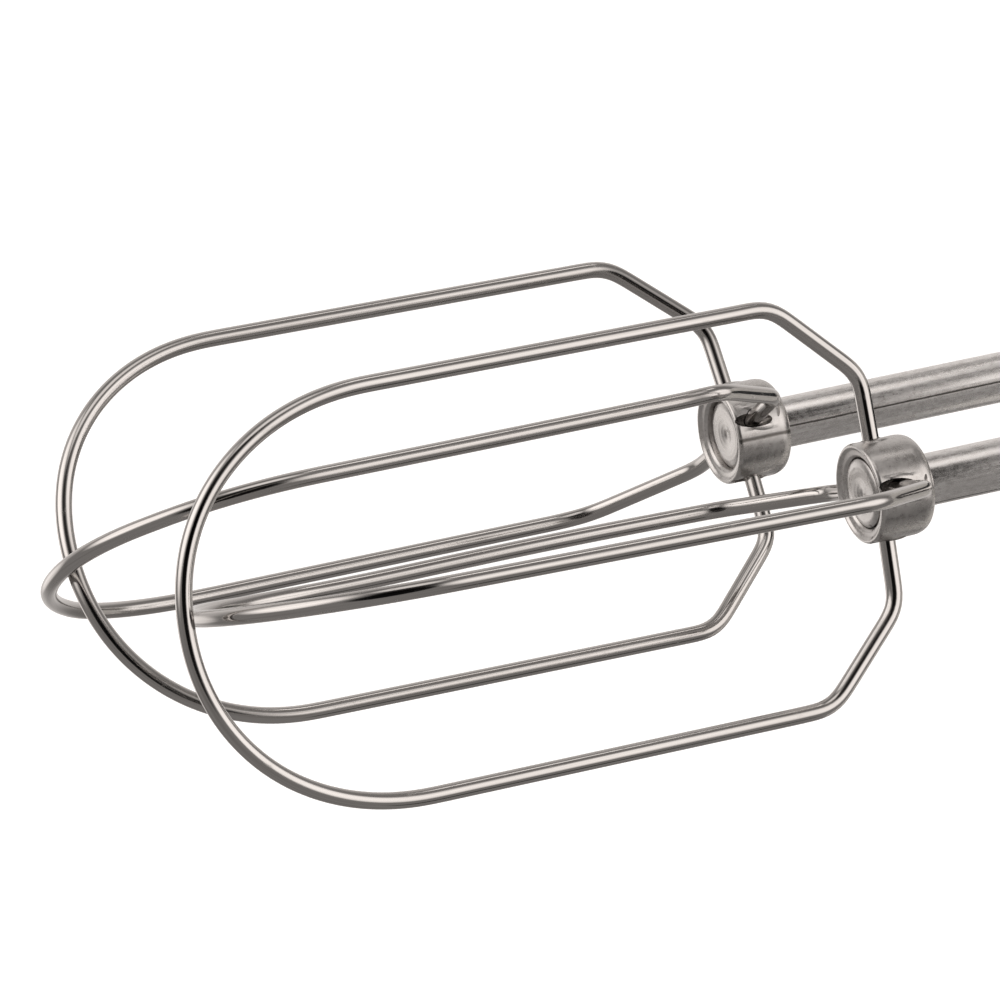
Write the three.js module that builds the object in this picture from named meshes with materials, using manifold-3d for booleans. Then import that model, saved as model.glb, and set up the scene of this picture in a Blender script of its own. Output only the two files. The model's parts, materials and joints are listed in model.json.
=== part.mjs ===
// Hand mixer standing on its heel, with a pair of wire beaters pointing forwards.
// Millimetres. +Z runs up from the heel to the nose, -X is the way the beaters point, and -Y is the
// user's left when the mixer is held in use. The motor's axis is the Z axis.
import * as THREE from 'three';
import { mergeVertices } from 'three/addons/utils/BufferGeometryUtils.js';
import Module from 'manifold-3d';

const wasm = await Module();
wasm.setup();

const FIT = 0.3; // gap between pieces that touch
const RUN = 0.25; // radial gap of a shaft in its bearing

// Beaters: two crossed wire loops staked into a steel hub at the end of a round shaft.
const BEATER_Z = 150; // height of both beater axes over the heel
const BEATER_SPREAD = 38; // between the two beater axes
const SHAFT_R = 3.15;
const TENON_R = 1.8;
const SHAFT_END_X = 4;
const HUB_R = 6.1;
const HUB_LENGTH = 7.6;
const HUB_LIP = 0.4; // the hub's rim stands this far in front of HUB_FRONT_X
const HUB_BACK = HUB_LENGTH - HUB_LIP;
const HUB_FRONT_X = -98.5;
const WIRE_R = 1;
const WIRE_HOLE_R = WIRE_R + 0.4;
const LOOP = {
  entry: -2.4, // where the wire enters the hub, behind the hub's front face
  neck: { along: -2.2, out: 14.0 }, // end of the stretch that stands out from the hub
  shoulder: { along: 8.3, out: 24.1 }, // end of the slope up to full width
  straightEnd: 61, // where the straight side turns into the rounded tip
  bends: [1.8, 2.2], // reach of the neck's and the shoulder's bend along both legs
  roundness: 2.1, // exponent of the tip's superellipse
};
// Each loop's reach past the hub, its phase round the axis, and the small errors of hand assembly in
// degrees (lean in the loop's plane, skew out of it) and millimetres (sideways shift, and the bow of
// one leg out of the loop's plane).
const LOOP_SET = {
  left: {
    outer: { tip: 88, phase: 11.0, lean: 0.8, skew: 2.2, shift: -0.3, bow: 0 },
    inner: { tip: 84, phase: 102.6, lean: 1.2, skew: 1.2, shift: 0.2, bow: 0.65 },
  },
  right: {
    inner: { tip: 85.6, phase: 30.4, lean: 1.2, skew: -1.0, shift: 0, bow: 0 },
    outer: { tip: 88, phase: 119.4, lean: -0.3, skew: 0.1, shift: 3.2, bow: 0 },
  },
};

// Drive: a two-start worm on the motor shaft turns one wheel on each side of it.
const WORM = { starts: 2, pitchR: 4.5, outerR: 5.3, coreR: 3.7, length: 22 };
const WHEEL = { teeth: 28, pitchR: 14.5, outerR: 15.2, rootR: 12.9, width: 9, hubR: 8 };
const AXIAL_PITCH = (2 * Math.PI * WHEEL.pitchR) / WHEEL.teeth;
const MOTOR_SHAFT_R = 2.5;
const SLEEVE = { outerR: 4.6, boreR: 3.4, mouthX: -22, endX: 14 };
const PIN_HEAD_X = 20.6;
const SPEED_TRAVEL = 20;

// Housing: an egg-shaped body with a handle loop over it, split down the middle.
const WALL = 2.5;
const HEEL_Z = 2.1;
const NOSE_Z = 199;
const BODY = { low: 37, high: 31, half: 40, exponent: 2.7, noseFrom: 150, heelFrom: 60 };
const HANDLE = { width: 38, bevel: 10, topX: 84 };
const FINGER_GAP = { lowX: 31, highX: 59, lowZ: 44, highZ: 132, corner: 13 };
const CORD_Z = 22; // height of the cord inlet
const SPLIT_GAP = 0.15; // each half stops this far from the middle plane
const CONTROL = { lowZ: 92, highZ: 176, half: 9.3, selectorZ: 106, turboZ: 147, ejectZ: 165 };
const SCREWS = {
  side: { x: -22, z: 114, seat: 12 },
  heel: { x: -2, z: 8.4, seat: 12 },
  nose: { x: 6, z: 184, seat: 12 },
  handle: { x: 48, z: 22, seat: 6 },
};
const SCREW = { shankR: 1.4, headR: 2.7, headHeight: 2.2, length: 15 };

// Motor: a universal motor with a wound field, a commutator and two brushes.
const STACK = { lowZ: 50, highZ: 82, halfX: 24, halfY: 27.5, boreR: 14.3 };
const ARMATURE_R = 13.6;
const ARMATURE_SLOTS = 12;
const BEARING = { outerR: 8, width: 5 };
const REAR_BEARING_Z = 17;
const FRAME = { lowZ: 122, highZ: 174, lowX: -19, highX: 14, halfY: 30 };
const BOLTS = { left: [-11, -24], right: [9, 24] };

const MATERIALS = {
  wire: material(0xc9c5c0, 0.16, 1),
  shaftSteel: material(0xb4afa9, 0.34, 1),
  hubSteel: material(0xada7a0, 0.3, 1),
  shell: material(0xe9e7e2, 0.35, 0),
  darkPlastic: material(0x2c2e31, 0.4, 0),
  softGrip: material(0x3b3d40, 0.8, 0),
  rubber: material(0x242424, 0.9, 0),
  steel: material(0x8f9194, 0.35, 1),
  lamination: material(0x5b5d61, 0.55, 1),
  castAlloy: material(0x9a9c9f, 0.55, 1),
  copper: material(0xb4693a, 0.35, 1),
  brass: material(0xb7994f, 0.35, 1),
  bronze: material(0x9c7446, 0.5, 1),
  carbon: material(0x1e1e20, 0.7, 0),
  nylon: material(0xe8e2cf, 0.5, 0),
  board: material(0x2d5a3a, 0.6, 0),
};

function material(color, roughness, metalness) {
  return new THREE.MeshStandardMaterial({ color, roughness, metalness });
}

// ---- Solids --------------------------------------------------------------------------------

// Turns a closed three.js geometry into a solid whose faces point out.
function solid(geometry) {
  const bare = geometry.clone();
  bare.deleteAttribute('normal');
  bare.deleteAttribute('uv');
  const merged = mergeVertices(bare, 1e-4);
  const position = merged.attributes.position.array;
  const index = merged.index.array;
  const triangles = [];
  let volume = 0;
  for (let i = 0; i < index.length; i += 3) {
    const [a, b, c] = [index[i], index[i + 1], index[i + 2]];
    if (a === b || b === c || c === a) continue;
    triangles.push(a, b, c);
    const [p, q, r] = [a, b, c].map((k) => new THREE.Vector3().fromArray(position, 3 * k));
    volume += p.dot(q.cross(r));
  }
  if (volume < 0) triangles.reverse();
  const mesh = new wasm.Mesh({
    numProp: 3,
    vertProperties: new Float32Array(position),
    triVerts: new Uint32Array(triangles),
  });
  return new wasm.Manifold(mesh);
}

function geometryOf(body) {
  const mesh = body.getMesh();
  const geometry = new THREE.BufferGeometry();
  geometry.setAttribute('position', new THREE.BufferAttribute(new Float32Array(mesh.vertProperties), 3));
  geometry.setIndex(new THREE.BufferAttribute(new Uint32Array(mesh.triVerts), 1));
  geometry.computeVertexNormals();
  return geometry;
}

function union(bodies) {
  return bodies.reduce((whole, body) => whole.add(body));
}

function cut(body, tools) {
  return tools.reduce((rest, tool) => rest.subtract(tool), body);
}

// Turns a geometry built along Y so that it runs along the named axis.
function along(axis, geometry) {
  if (axis === 'x') geometry.rotateZ(-Math.PI / 2);
  if (axis === 'z') geometry.rotateX(Math.PI / 2);
  return geometry;
}

// A round bar from `from` to `to` along an axis; u and v are its centre on the other two axes.
function bar(axis, radius, from, to, u = 0, v = 0, sides = 16) {
  const geometry = along(axis, new THREE.CylinderGeometry(radius, radius, to - from, sides));
  const middle = (from + to) / 2;
  const centre = { x: [middle, u, v], y: [u, middle, v], z: [u, v, middle] }[axis];
  return solid(geometry.translate(...centre));
}

// A turned piece: profile is a list of [radius, position along the axis], starting and ending on the axis.
function turned(axis, profile, u = 0, v = 0, sides = 16) {
  const points = profile.map(([radius, y]) => new THREE.Vector2(radius, y));
  const geometry = along(axis, new THREE.LatheGeometry(points, sides));
  const centre = { x: [0, u, v], y: [u, 0, v], z: [u, v, 0] }[axis];
  return solid(geometry.translate(...centre));
}

// A turned ring between two radii.
function ring(axis, outer, inner, from, to, u = 0, v = 0, sides = 16) {
  const past = 1;
  const hole = bar(axis, inner, from - past, to + past, u, v, sides);
  return bar(axis, outer, from, to, u, v, sides).subtract(hole);
}

function box(low, high) {
  const size = high.map((value, i) => value - low[i]);
  const centre = high.map((value, i) => (value + low[i]) / 2);
  return solid(new THREE.BoxGeometry(...size).translate(...centre));
}

// A shape through corners given as [x, y, radius].
function roundedShape(corners, Type = THREE.Shape) {
  const shape = new Type();
  corners.forEach(([x, y, radius], i) => {
    const here = new THREE.Vector2(x, y);
    const before = new THREE.Vector2(...corners.at(i - 1).slice(0, 2));
    const after = new THREE.Vector2(...corners[(i + 1) % corners.length].slice(0, 2));
    const start = here.clone().lerp(before, radius / here.distanceTo(before));
    const end = here.clone().lerp(after, radius / here.distanceTo(after));
    if (i === 0) shape.moveTo(start.x, start.y);
    else shape.lineTo(start.x, start.y);
    if (radius > 0) shape.quadraticCurveTo(x, y, end.x, end.y);
  });
  shape.closePath();
  return shape;
}

function rectangle(lowX, lowY, highX, highY, radius) {
  const corners = [[lowX, lowY], [highX, lowY], [highX, highY], [lowX, highY]];
  return roundedShape(corners.map((corner) => [...corner, radius]));
}

// A shape drawn in the named plane, extruded along the axis that is left.
function slab(plane, shape, from, to, options = {}) {
  const plain = { depth: to - from, bevelEnabled: false, curveSegments: 4 };
  const geometry = new THREE.ExtrudeGeometry(shape, { ...plain, ...options });
  if (plane === 'xy') geometry.translate(0, 0, from);
  if (plane === 'xz') geometry.rotateX(Math.PI / 2).translate(0, to, 0);
  if (plane === 'yz') geometry.rotateX(Math.PI / 2).rotateZ(Math.PI / 2).translate(from, 0, 0);
  return solid(geometry);
}

// A path through given points, so that an extrusion along it has one step between neighbours.
class PointPath extends THREE.Curve {
  constructor(points) {
    super();
    this.points = points;
  }
  getPoint(t, target = new THREE.Vector3()) {
    const place = t * (this.points.length - 1);
    const i = Math.min(Math.floor(place), this.points.length - 2);
    return target.copy(this.points[i]).lerp(this.points[i + 1], place - i);
  }
  getPointAt(u, target) {
    return this.getPoint(u, target);
  }
  getTangentAt(u, target = new THREE.Vector3()) {
    const i = Math.round(u * (this.points.length - 1));
    const before = this.points[Math.max(i - 1, 0)];
    const after = this.points[Math.min(i + 1, this.points.length - 1)];
    return target.copy(after).sub(before).normalize();
  }
}

function polygon(radius, sides) {
  const corners = Array.from({ length: sides }, (_, k) => (2 * Math.PI * (k + 0.5)) / sides);
  return new THREE.Shape(corners.map((a) => new THREE.Vector2(radius * Math.cos(a), radius * Math.sin(a))));
}

function tube(points, radius, sides) {
  const path = new PointPath(points);
  const options = { steps: points.length - 1, extrudePath: path, bevelEnabled: false };
  return solid(new THREE.ExtrudeGeometry(polygon(radius, sides), options));
}

// ---- Scene graph ---------------------------------------------------------------------------

const mixer = new THREE.Group();

function piece(name, body, look, parent = mixer) {
  const mesh = new THREE.Mesh(geometryOf(body), look);
  mesh.name = name;
  parent.add(mesh);
  return mesh;
}

// ---- Beaters -------------------------------------------------------------------------------

// Half of a loop, from its hub to its tip. side is 1 or -1, and only side 1 is bowed.
function loopSide({ tip, shift, bow }, side) {
  const { entry, neck, shoulder, straightEnd, bends, roundness } = LOOP;
  const width = shoulder.out;
  const root = [entry, TENON_R + 0.8];
  const corners = [root, [neck.along, neck.out], [shoulder.along, width], [straightEnd, width]];
  const points = [corners[0]];
  bends.forEach((reach, i) => {
    const [from, at, to] = corners.slice(i, i + 3).map((c) => new THREE.Vector2(...c));
    const start = at.clone().lerp(from, reach / at.distanceTo(from));
    const end = at.clone().lerp(to, reach / at.distanceTo(to));
    const curve = new THREE.QuadraticBezierCurve(start, at, end);
    points.push(...curve.getPoints(3).map((p) => [p.x, p.y]));
  });
  const tipSteps = 9;
  for (let i = 0; i < tipSteps; i += 1) {
    const turn = (Math.PI / 2) * (i / tipSteps);
    const forward = straightEnd + (tip - straightEnd) * Math.sin(turn) ** (2 / roundness);
    points.push([forward, width * Math.cos(turn) ** (2 / roundness)]);
  }
  const grown = (a) => THREE.MathUtils.clamp((a + 3) / 15, 0, 1) * Math.min((tip + 12 - a) / 20, 1);
  const standOff = (a) => shift * grown(a);
  const swell = (a) => Math.exp(-(((a - straightEnd) / 22) ** 2)) * Math.min((tip - a) / 12, 1);
  const sag = (a) => (side > 0 ? bow * swell(a) : 0);
  return points.map(([a, out]) => new THREE.Vector3(-a, sag(a), side * out + standOff(a)));
}

function wireLoop(setting) {
  const middle = new THREE.Vector3(-setting.tip, 0, setting.shift * 0.6);
  const path = [...loopSide(setting, 1), middle, ...loopSide(setting, -1).reverse()];
  return tube(path, WIRE_R, 8);
}

// The turned hub. Its front face has a rim round a recess for the cap, and four wire holes.
function hub(set) {
  const front = -HUB_LIP;
  const face = [[0, 0.9], [4.6, 0.9], [4.6, front], [HUB_R - 0.5, front], [HUB_R, front + 0.5]];
  const edge = [[HUB_R, HUB_BACK - 1.2], [HUB_R - 0.35, HUB_BACK - 0.35], [HUB_R - 1.2, HUB_BACK]];
  const body = turned('x', [...face, ...edge, [0, HUB_BACK]], 0, 0, 24);
  const shaftBore = bar('x', TENON_R + FIT, -1, HUB_BACK + 1);
  const holes = [];
  for (const { phase } of Object.values(set)) {
    const across = bar('z', WIRE_HOLE_R, -HUB_R - 1, HUB_R + 1, 0, 0, 8);
    holes.push(across.rotate([-phase, 0, 0]).translate([-LOOP.entry, 0, 0]));
  }
  return cut(body, [shaftBore, ...holes]);
}

// The shaft. A tenon at its lower end passes through the hub and is riveted over in the hub's recess. Two
// ears near the other end key it into its spindle.
function beaterShaft() {
  const length = SHAFT_END_X - HUB_FRONT_X;
  const shoulder = HUB_BACK + FIT;
  const rivet = [[0, -0.3], [2.4, -0.2], [4.2, 0.25], [4.2, 0.9 - FIT], [TENON_R, 0.9 - FIT]];
  const stem = [[TENON_R, shoulder], [SHAFT_R, shoulder], [SHAFT_R, length - 2]];
  const end = [[SHAFT_R - 1.6, length], [0, length]];
  const rod = turned('x', [...rivet, ...stem, ...end], 0, 0, 20);
  const earX = SLEEVE.mouthX + 3 - HUB_FRONT_X;
  const ears = box([earX, -4.1, -0.8], [earX + 5, 4.1, 0.8]);
  return rod.add(ears);
}

function addBeater(side, sign) {
  const beater = new THREE.Group();
  beater.position.set(HUB_FRONT_X, (sign * BEATER_SPREAD) / 2, BEATER_Z);
  mixer.add(beater);
  const set = LOOP_SET[side];
  piece(`beater_shaft_${side}`, beaterShaft(), MATERIALS.shaftSteel, beater);
  piece(`beater_hub_${side}`, hub(set), MATERIALS.hubSteel, beater);
  for (const [layer, setting] of Object.entries(set)) {
    const loop = piece(`wire_loop_${layer}_${side}`, wireLoop(setting), MATERIALS.wire, beater);
    loop.rotation.set(...[-setting.phase, setting.lean, setting.skew].map(THREE.MathUtils.degToRad));
  }
}

// ---- Spindles ------------------------------------------------------------------------------

// A helical wheel's outline, with a tooth space at angle 0.
function wheelShape() {
  const points = [];
  const step = (2 * Math.PI) / WHEEL.teeth;
  const flanks = [[0.14, WHEEL.outerR], [0.3, WHEEL.rootR], [0.7, WHEEL.rootR], [0.86, WHEEL.outerR]];
  for (let tooth = 0; tooth < WHEEL.teeth; tooth += 1) {
    for (const [share, radius] of flanks) {
      const angle = (tooth + share - 0.5) * step;
      points.push(new THREE.Vector2(radius * Math.cos(angle), radius * Math.sin(angle)));
    }
  }
  return new THREE.Shape(points);
}

function wormWheel(towardsWorm) {
  const options = { depth: WHEEL.width, bevelEnabled: false };
  const geometry = new THREE.ExtrudeGeometry(wheelShape(), options).translate(0, 0, -WHEEL.width / 2);
  const twist = AXIAL_PITCH * WORM.starts / (2 * Math.PI * WORM.pitchR) / WHEEL.pitchR;
  const position = geometry.attributes.position;
  const point = new THREE.Vector3();
  for (let i = 0; i < position.count; i += 1) {
    point.fromBufferAttribute(position, i);
    point.applyAxisAngle(new THREE.Vector3(0, 0, 1), twist * point.z);
    position.setXYZ(i, point.x, point.y, point.z);
  }
  geometry.rotateX(Math.PI / 2).rotateZ(Math.PI / 2).rotateX(towardsWorm);
  const boss = bar('x', WHEEL.hubR, -8.5, 8.5);
  return cut(solid(geometry).add(boss), [bar('x', SLEEVE.outerR + FIT, -20, 20, 0, 0, 20)]);
}

// The steel sleeve that holds a beater shaft, slotted at its mouth for the shaft's ears.
function spindleSleeve() {
  const sleeve = ring('x', SLEEVE.outerR, SLEEVE.boreR, SLEEVE.mouthX, SLEEVE.endX);
  const slot = box([SLEEVE.mouthX - 1, -6, -1.1], [SLEEVE.mouthX + 9, 6, 1.1]);
  return sleeve.subtract(slot);
}

function circlip() {
  const clip = ring('x', 6.6, SLEEVE.outerR + 0.2, -9.7, -8.9, 0, 0, 16);
  return clip.subtract(box([-11, -1.5, 3], [-8, 1.5, 8]));
}

function ejectorPin() {
  const stemR = SLEEVE.boreR - 0.5;
  const headR = 4.2;
  const from = SHAFT_END_X + FIT;
  const stem = [[0, from], [stemR, from], [stemR, PIN_HEAD_X]];
  return turned('x', [...stem, [headR, PIN_HEAD_X], [headR, PIN_HEAD_X + 2], [0, PIN_HEAD_X + 2]]);
}

function addSpindle(side, sign) {
  const spindle = new THREE.Group();
  spindle.position.set(0, (sign * BEATER_SPREAD) / 2, BEATER_Z);
  mixer.add(spindle);
  const towardsWorm = sign > 0 ? Math.PI : 0;
  piece(`worm_wheel_${side}`, wormWheel(towardsWorm), MATERIALS.nylon, spindle);
  piece(`spindle_sleeve_${side}`, spindleSleeve(), MATERIALS.steel, spindle);
  piece(`circlip_${side}`, circlip(), MATERIALS.steel, spindle);
  piece(`ejector_pin_${side}`, ejectorPin(), MATERIALS.steel, spindle);
  const bush = ring('x', 6.6, SLEEVE.outerR + RUN, FRAME.lowX - 0.6, FRAME.lowX + 5);
  piece(`spindle_bush_${side}`, bush, MATERIALS.bronze, spindle);
}

// ---- Rotor ---------------------------------------------------------------------------------

// Thread ridges of the worm: each is a tapered bar wound round the core.
function worm() {
  const lead = AXIAL_PITCH * WORM.starts;
  const half = WORM.length / 2 - 1.5;
  const stepsPerTurn = 8;
  const steps = Math.round((2 * half / lead) * stepsPerTurn);
  const core = bar('z', WORM.coreR, BEATER_Z - WORM.length / 2, BEATER_Z + WORM.length / 2);
  let body = core;
  for (let start = 0; start < WORM.starts; start += 1) {
    const positions = [];
    const index = [];
    for (let i = 0; i <= steps; i += 1) {
      const z = -half + (2 * half * i) / steps;
      const angle = Math.PI / 2 + (2 * Math.PI * z) / lead + (2 * Math.PI * start) / WORM.starts;
      const rootR = WORM.coreR - 0.5;
      const section = [[rootR, -0.95], [WORM.outerR, -0.4], [WORM.outerR, 0.4], [rootR, 0.95]];
      for (const [radius, rise] of section) {
        positions.push(radius * Math.cos(angle), radius * Math.sin(angle), BEATER_Z + z + rise);
      }
    }
    for (let i = 0; i < steps; i += 1) {
      for (let k = 0; k < 4; k += 1) {
        const [a, b] = [4 * i + k, 4 * i + ((k + 1) % 4)];
        index.push(a, b, a + 4, b, b + 4, a + 4);
      }
    }
    const last = 4 * steps;
    index.push(0, 2, 1, 0, 3, 2, last, last + 1, last + 2, last, last + 2, last + 3);
    const geometry = new THREE.BufferGeometry();
    geometry.setAttribute('position', new THREE.Float32BufferAttribute(positions, 3));
    geometry.setIndex(index);
    body = body.add(solid(geometry));
  }
  return body.subtract(bar('z', MOTOR_SHAFT_R + RUN, BEATER_Z - 20, BEATER_Z + 20));
}

function armatureCore() {
  const points = [];
  for (let k = 0; k < ARMATURE_SLOTS; k += 1) {
    const lipToRoot = [[0.08, ARMATURE_R], [0.4, ARMATURE_R], [0.42, 11.8], [0.24, 11], [0.24, 7.6]];
    const rootToLip = lipToRoot.map(([share, radius]) => [1 - share, radius]).reverse();
    for (const [share, radius] of [...lipToRoot, ...rootToLip]) {
      const angle = (2 * Math.PI * (k + share)) / ARMATURE_SLOTS;
      points.push(new THREE.Vector2(radius * Math.cos(angle), radius * Math.sin(angle)));
    }
  }
  const core = slab('xy', new THREE.Shape(points), STACK.lowZ, STACK.highZ);
  return core.subtract(bar('z', MOTOR_SHAFT_R + RUN, STACK.lowZ - 1, STACK.highZ + 1));
}

// The armature's winding: a bundle of wire in every slot, and a bulge of end turns at each end of the core.
function armatureWindings() {
  const bulge = (from) => {
    const profile = [[0, 0], [9, 0], [12.2, 1.4], [12.2, 3.6], [8.5, 6], [0, 6]];
    return turned('z', profile.map(([radius, rise]) => [radius, from + rise]), 0, 0, 18);
  };
  const parts = [bulge(STACK.lowZ - 6 - FIT), bulge(STACK.highZ + FIT)];
  for (let k = 0; k < ARMATURE_SLOTS; k += 1) {
    const bundle = box([8.1, -0.75, STACK.lowZ - 3], [10.6, 0.75, STACK.highZ + 3]);
    parts.push(bundle.rotate([0, 0, (360 * (k + 0.5)) / ARMATURE_SLOTS]));
  }
  return union(parts).subtract(bar('z', MOTOR_SHAFT_R + RUN, 30, 100));
}

function commutator() {
  const bars = 12;
  const points = [];
  for (let k = 0; k < bars; k += 1) {
    for (const [share, radius] of [[0.06, 8.3], [0.08, 9], [0.92, 9], [0.94, 8.3]]) {
      const angle = (2 * Math.PI * (k + share)) / bars;
      points.push(new THREE.Vector2(radius * Math.cos(angle), radius * Math.sin(angle)));
    }
  }
  return slab('xy', new THREE.Shape(points), 28, 42).subtract(bar('z', MOTOR_SHAFT_R + RUN, 20, 50));
}

function coolingFan() {
  const blades = 9;
  const disc = bar('z', 24, 102, 103.6, 0, 0, 27);
  const hubOfFan = bar('z', 6, 93, 102.5);
  const parts = [disc, hubOfFan];
  for (let k = 0; k < blades; k += 1) {
    const blade = box([8, -0.7, 94], [23.5, 0.7, 102.5]).rotate([0, 0, 22]).translate([-1.5, -3, 0]);
    parts.push(blade.rotate([0, 0, (360 * k) / blades]));
  }
  return union(parts).subtract(bar('z', MOTOR_SHAFT_R + RUN, 90, 110));
}

function addRotor() {
  const profile = [[0, 13], [1.8, 13], [MOTOR_SHAFT_R, 14], [MOTOR_SHAFT_R, 172], [1.8, 173], [0, 173]];
  const shaft = turned('z', profile);
  piece('motor_shaft', shaft, MATERIALS.steel);
  piece('armature_core', armatureCore(), MATERIALS.lamination);
  piece('armature_windings', armatureWindings(), MATERIALS.copper);
  piece('commutator', commutator(), MATERIALS.copper);
  piece('cooling_fan', coolingFan(), MATERIALS.darkPlastic);
  piece('drive_worm', worm(), MATERIALS.steel);
}

// ---- Motor's fixed parts -------------------------------------------------------------------

function throughBolts(radius, from, to) {
  return Object.values(BOLTS).map(([x, y]) => bar('z', radius, from, to, x, y, 8));
}

// The laminated field stack, with a window beside each pole for the coils' legs.
function statorCore() {
  const { lowZ, highZ, halfX, halfY, boreR } = STACK;
  const block = slab('xy', rectangle(-halfX, -halfY, halfX, halfY, 10), lowZ, highZ);
  const windows = [];
  for (const sx of [-1, 1]) {
    for (const sy of [-1, 1]) {
      const [x0, x1] = [15.2 * sx, 21 * sx].sort((a, b) => a - b);
      const [y0, y1] = [9.6 * sy, 18.4 * sy].sort((a, b) => a - b);
      windows.push(box([x0, y0, lowZ - 1], [x1, y1, highZ + 1]));
    }
  }
  const bore = bar('z', boreR, lowZ - 1, highZ + 1, 0, 0, 28);
  return cut(block, [bore, ...windows, ...throughBolts(1.8, lowZ - 1, highZ + 1)]);
}

function fieldCoil(sign) {
  const [from, to] = [15.5 * sign, 20.7 * sign].sort((a, b) => a - b);
  const outline = rectangle(-18, STACK.lowZ - 6, 18, STACK.highZ + 6, 7);
  outline.holes.push(rectangle(-10, STACK.lowZ - FIT, 10, STACK.highZ + FIT, 1));
  return slab('yz', outline, from, to, { curveSegments: 3 });
}

// The cast frame round the worm and both wheels. It holds the spindle bushes and two motor bearings.
function gearFrame() {
  const { lowZ, highZ, lowX, highX, halfY } = FRAME;
  const outline = rectangle(lowX, lowZ, highX, highZ, 4);
  outline.holes.push(rectangle(lowX + 4, lowZ + 6, highX - 4, highZ - 4, 2));
  const frame = slab('xz', outline, -halfY, halfY);
  const tools = [bar('z', BEARING.outerR + FIT, lowZ - 1, lowZ + BEARING.width + FIT, 0, 0, 24)];
  tools.push(bar('z', 3.4, lowZ, lowZ + 8), bar('z', 4.8, highZ - 6, highZ + 1));
  tools.push(...throughBolts(1.8, lowZ - 1, lowZ + 8));
  for (const y of [-BEATER_SPREAD / 2, BEATER_SPREAD / 2]) {
    tools.push(bar('x', 6.9, lowX - 5, lowX + 8, y, BEATER_Z, 20));
    tools.push(bar('x', SLEEVE.outerR + RUN, lowX, highX + 5, y, BEATER_Z, 20));
  }
  return cut(frame, tools);
}

function ballBearing(from) {
  return ring('z', BEARING.outerR, MOTOR_SHAFT_R + RUN, from, from + BEARING.width, 0, 0, 20);
}

function rearBracket() {
  const plate = slab('xy', rectangle(-20, -29, 17, 29, 6), 16, 20);
  const cup = bar('z', 11, 16, 24.5, 0, 0, 20);
  const seat = bar('z', BEARING.outerR + FIT, REAR_BEARING_Z - 0.2, 30, 0, 0, 24);
  const openings = [-1, 1].map((s) => box([-8, 17 * s - 3.5, 10], [8, 17 * s + 3.5, 22]));
  return cut(plate.add(cup), [seat, bar('z', 3.4, 10, 30), ...openings, ...throughBolts(1.8, 10, 22)]);
}

function brushCard() {
  const plate = slab('xy', rectangle(-16, -29, 13, 29, 5), 25, 27.4);
  return cut(plate, [bar('z', 11.6, 20, 30, 0, 0, 24), ...throughBolts(1.8, 20, 30)]);
}

// Brush, spring and brass holder lie along Y, on the commutator's left or right side.
function addBrush(side, sign) {
  const group = new THREE.Group();
  group.rotation.z = sign > 0 ? 0 : Math.PI;
  mixer.add(group);
  const low = 27.8;
  const channel = box([-3, 10, low + 1.2], [3, 26, low + 6.8]);
  const holder = box([-4.2, 11, low], [4.2, 27, low + 8]).subtract(channel);
  piece(`brush_holder_${side}`, holder, MATERIALS.brass, group);
  piece(`carbon_brush_${side}`, box([-2.7, 9.3, low + 1.5], [2.7, 19, low + 6.5]), MATERIALS.carbon, group);
  piece(`brush_spring_${side}`, spring('y', 2.0, 0.35, 19.3, 25.6, 3, 0, low + 4), MATERIALS.steel, group);
}

// A compression spring along an axis, centred at (u, v) on the other two.
function spring(axis, radius, wire, from, to, turns, u, v) {
  const perTurn = 8;
  const steps = turns * perTurn;
  const points = [];
  for (let i = 0; i <= steps; i += 1) {
    const angle = (2 * Math.PI * i) / perTurn;
    const place = from + wire + ((to - from - 2 * wire) * i) / steps;
    const [p, q] = [u + radius * Math.cos(angle), v + radius * Math.sin(angle)];
    points.push(new THREE.Vector3(...{ x: [place, p, q], y: [p, place, q] }[axis]));
  }
  return tube(points, wire, 4);
}

function addMotor() {
  piece('stator_core', statorCore(), MATERIALS.lamination);
  piece('field_coil_upper', fieldCoil(1), MATERIALS.copper);
  piece('field_coil_lower', fieldCoil(-1), MATERIALS.copper);
  piece('gear_frame', gearFrame(), MATERIALS.castAlloy);
  piece('front_bearing', ballBearing(FRAME.lowZ), MATERIALS.steel);
  piece('rear_bearing', ballBearing(REAR_BEARING_Z), MATERIALS.steel);
  piece('nose_bush', ring('z', 4.5, MOTOR_SHAFT_R + RUN, FRAME.highZ - 4, FRAME.highZ), MATERIALS.bronze);
  piece('rear_bracket', rearBracket(), MATERIALS.castAlloy);
  piece('brush_card', brushCard(), MATERIALS.carbon);
  for (const [side, [x, y]] of Object.entries(BOLTS)) {
    const profile = [[0, 13.5], [2.8, 13.5], [2.8, 15.7], [1.5, 15.7], [1.5, 127], [0, 127]];
    piece(`motor_bolt_${side}`, turned('z', profile, x, y, 8), MATERIALS.steel);
  }
  addBrush('left', -1);
  addBrush('right', 1);
}

// ---- Housing -------------------------------------------------------------------------------

// How full the body is at height z, from 0 at the nose to 1 at its widest. inset is a wall's thickness.
function bodyScale(z, inset) {
  const { noseFrom, heelFrom } = BODY;
  if (z > noseFrom) {
    const share = Math.min((z - noseFrom) / (NOSE_Z - inset - noseFrom), 1);
    return (1 - share ** 2.6) ** (1 / 2.6);
  }
  return z < heelFrom ? 1 - 0.16 * ((heelFrom - z) / heelFrom) ** 2 : 1;
}

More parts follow.
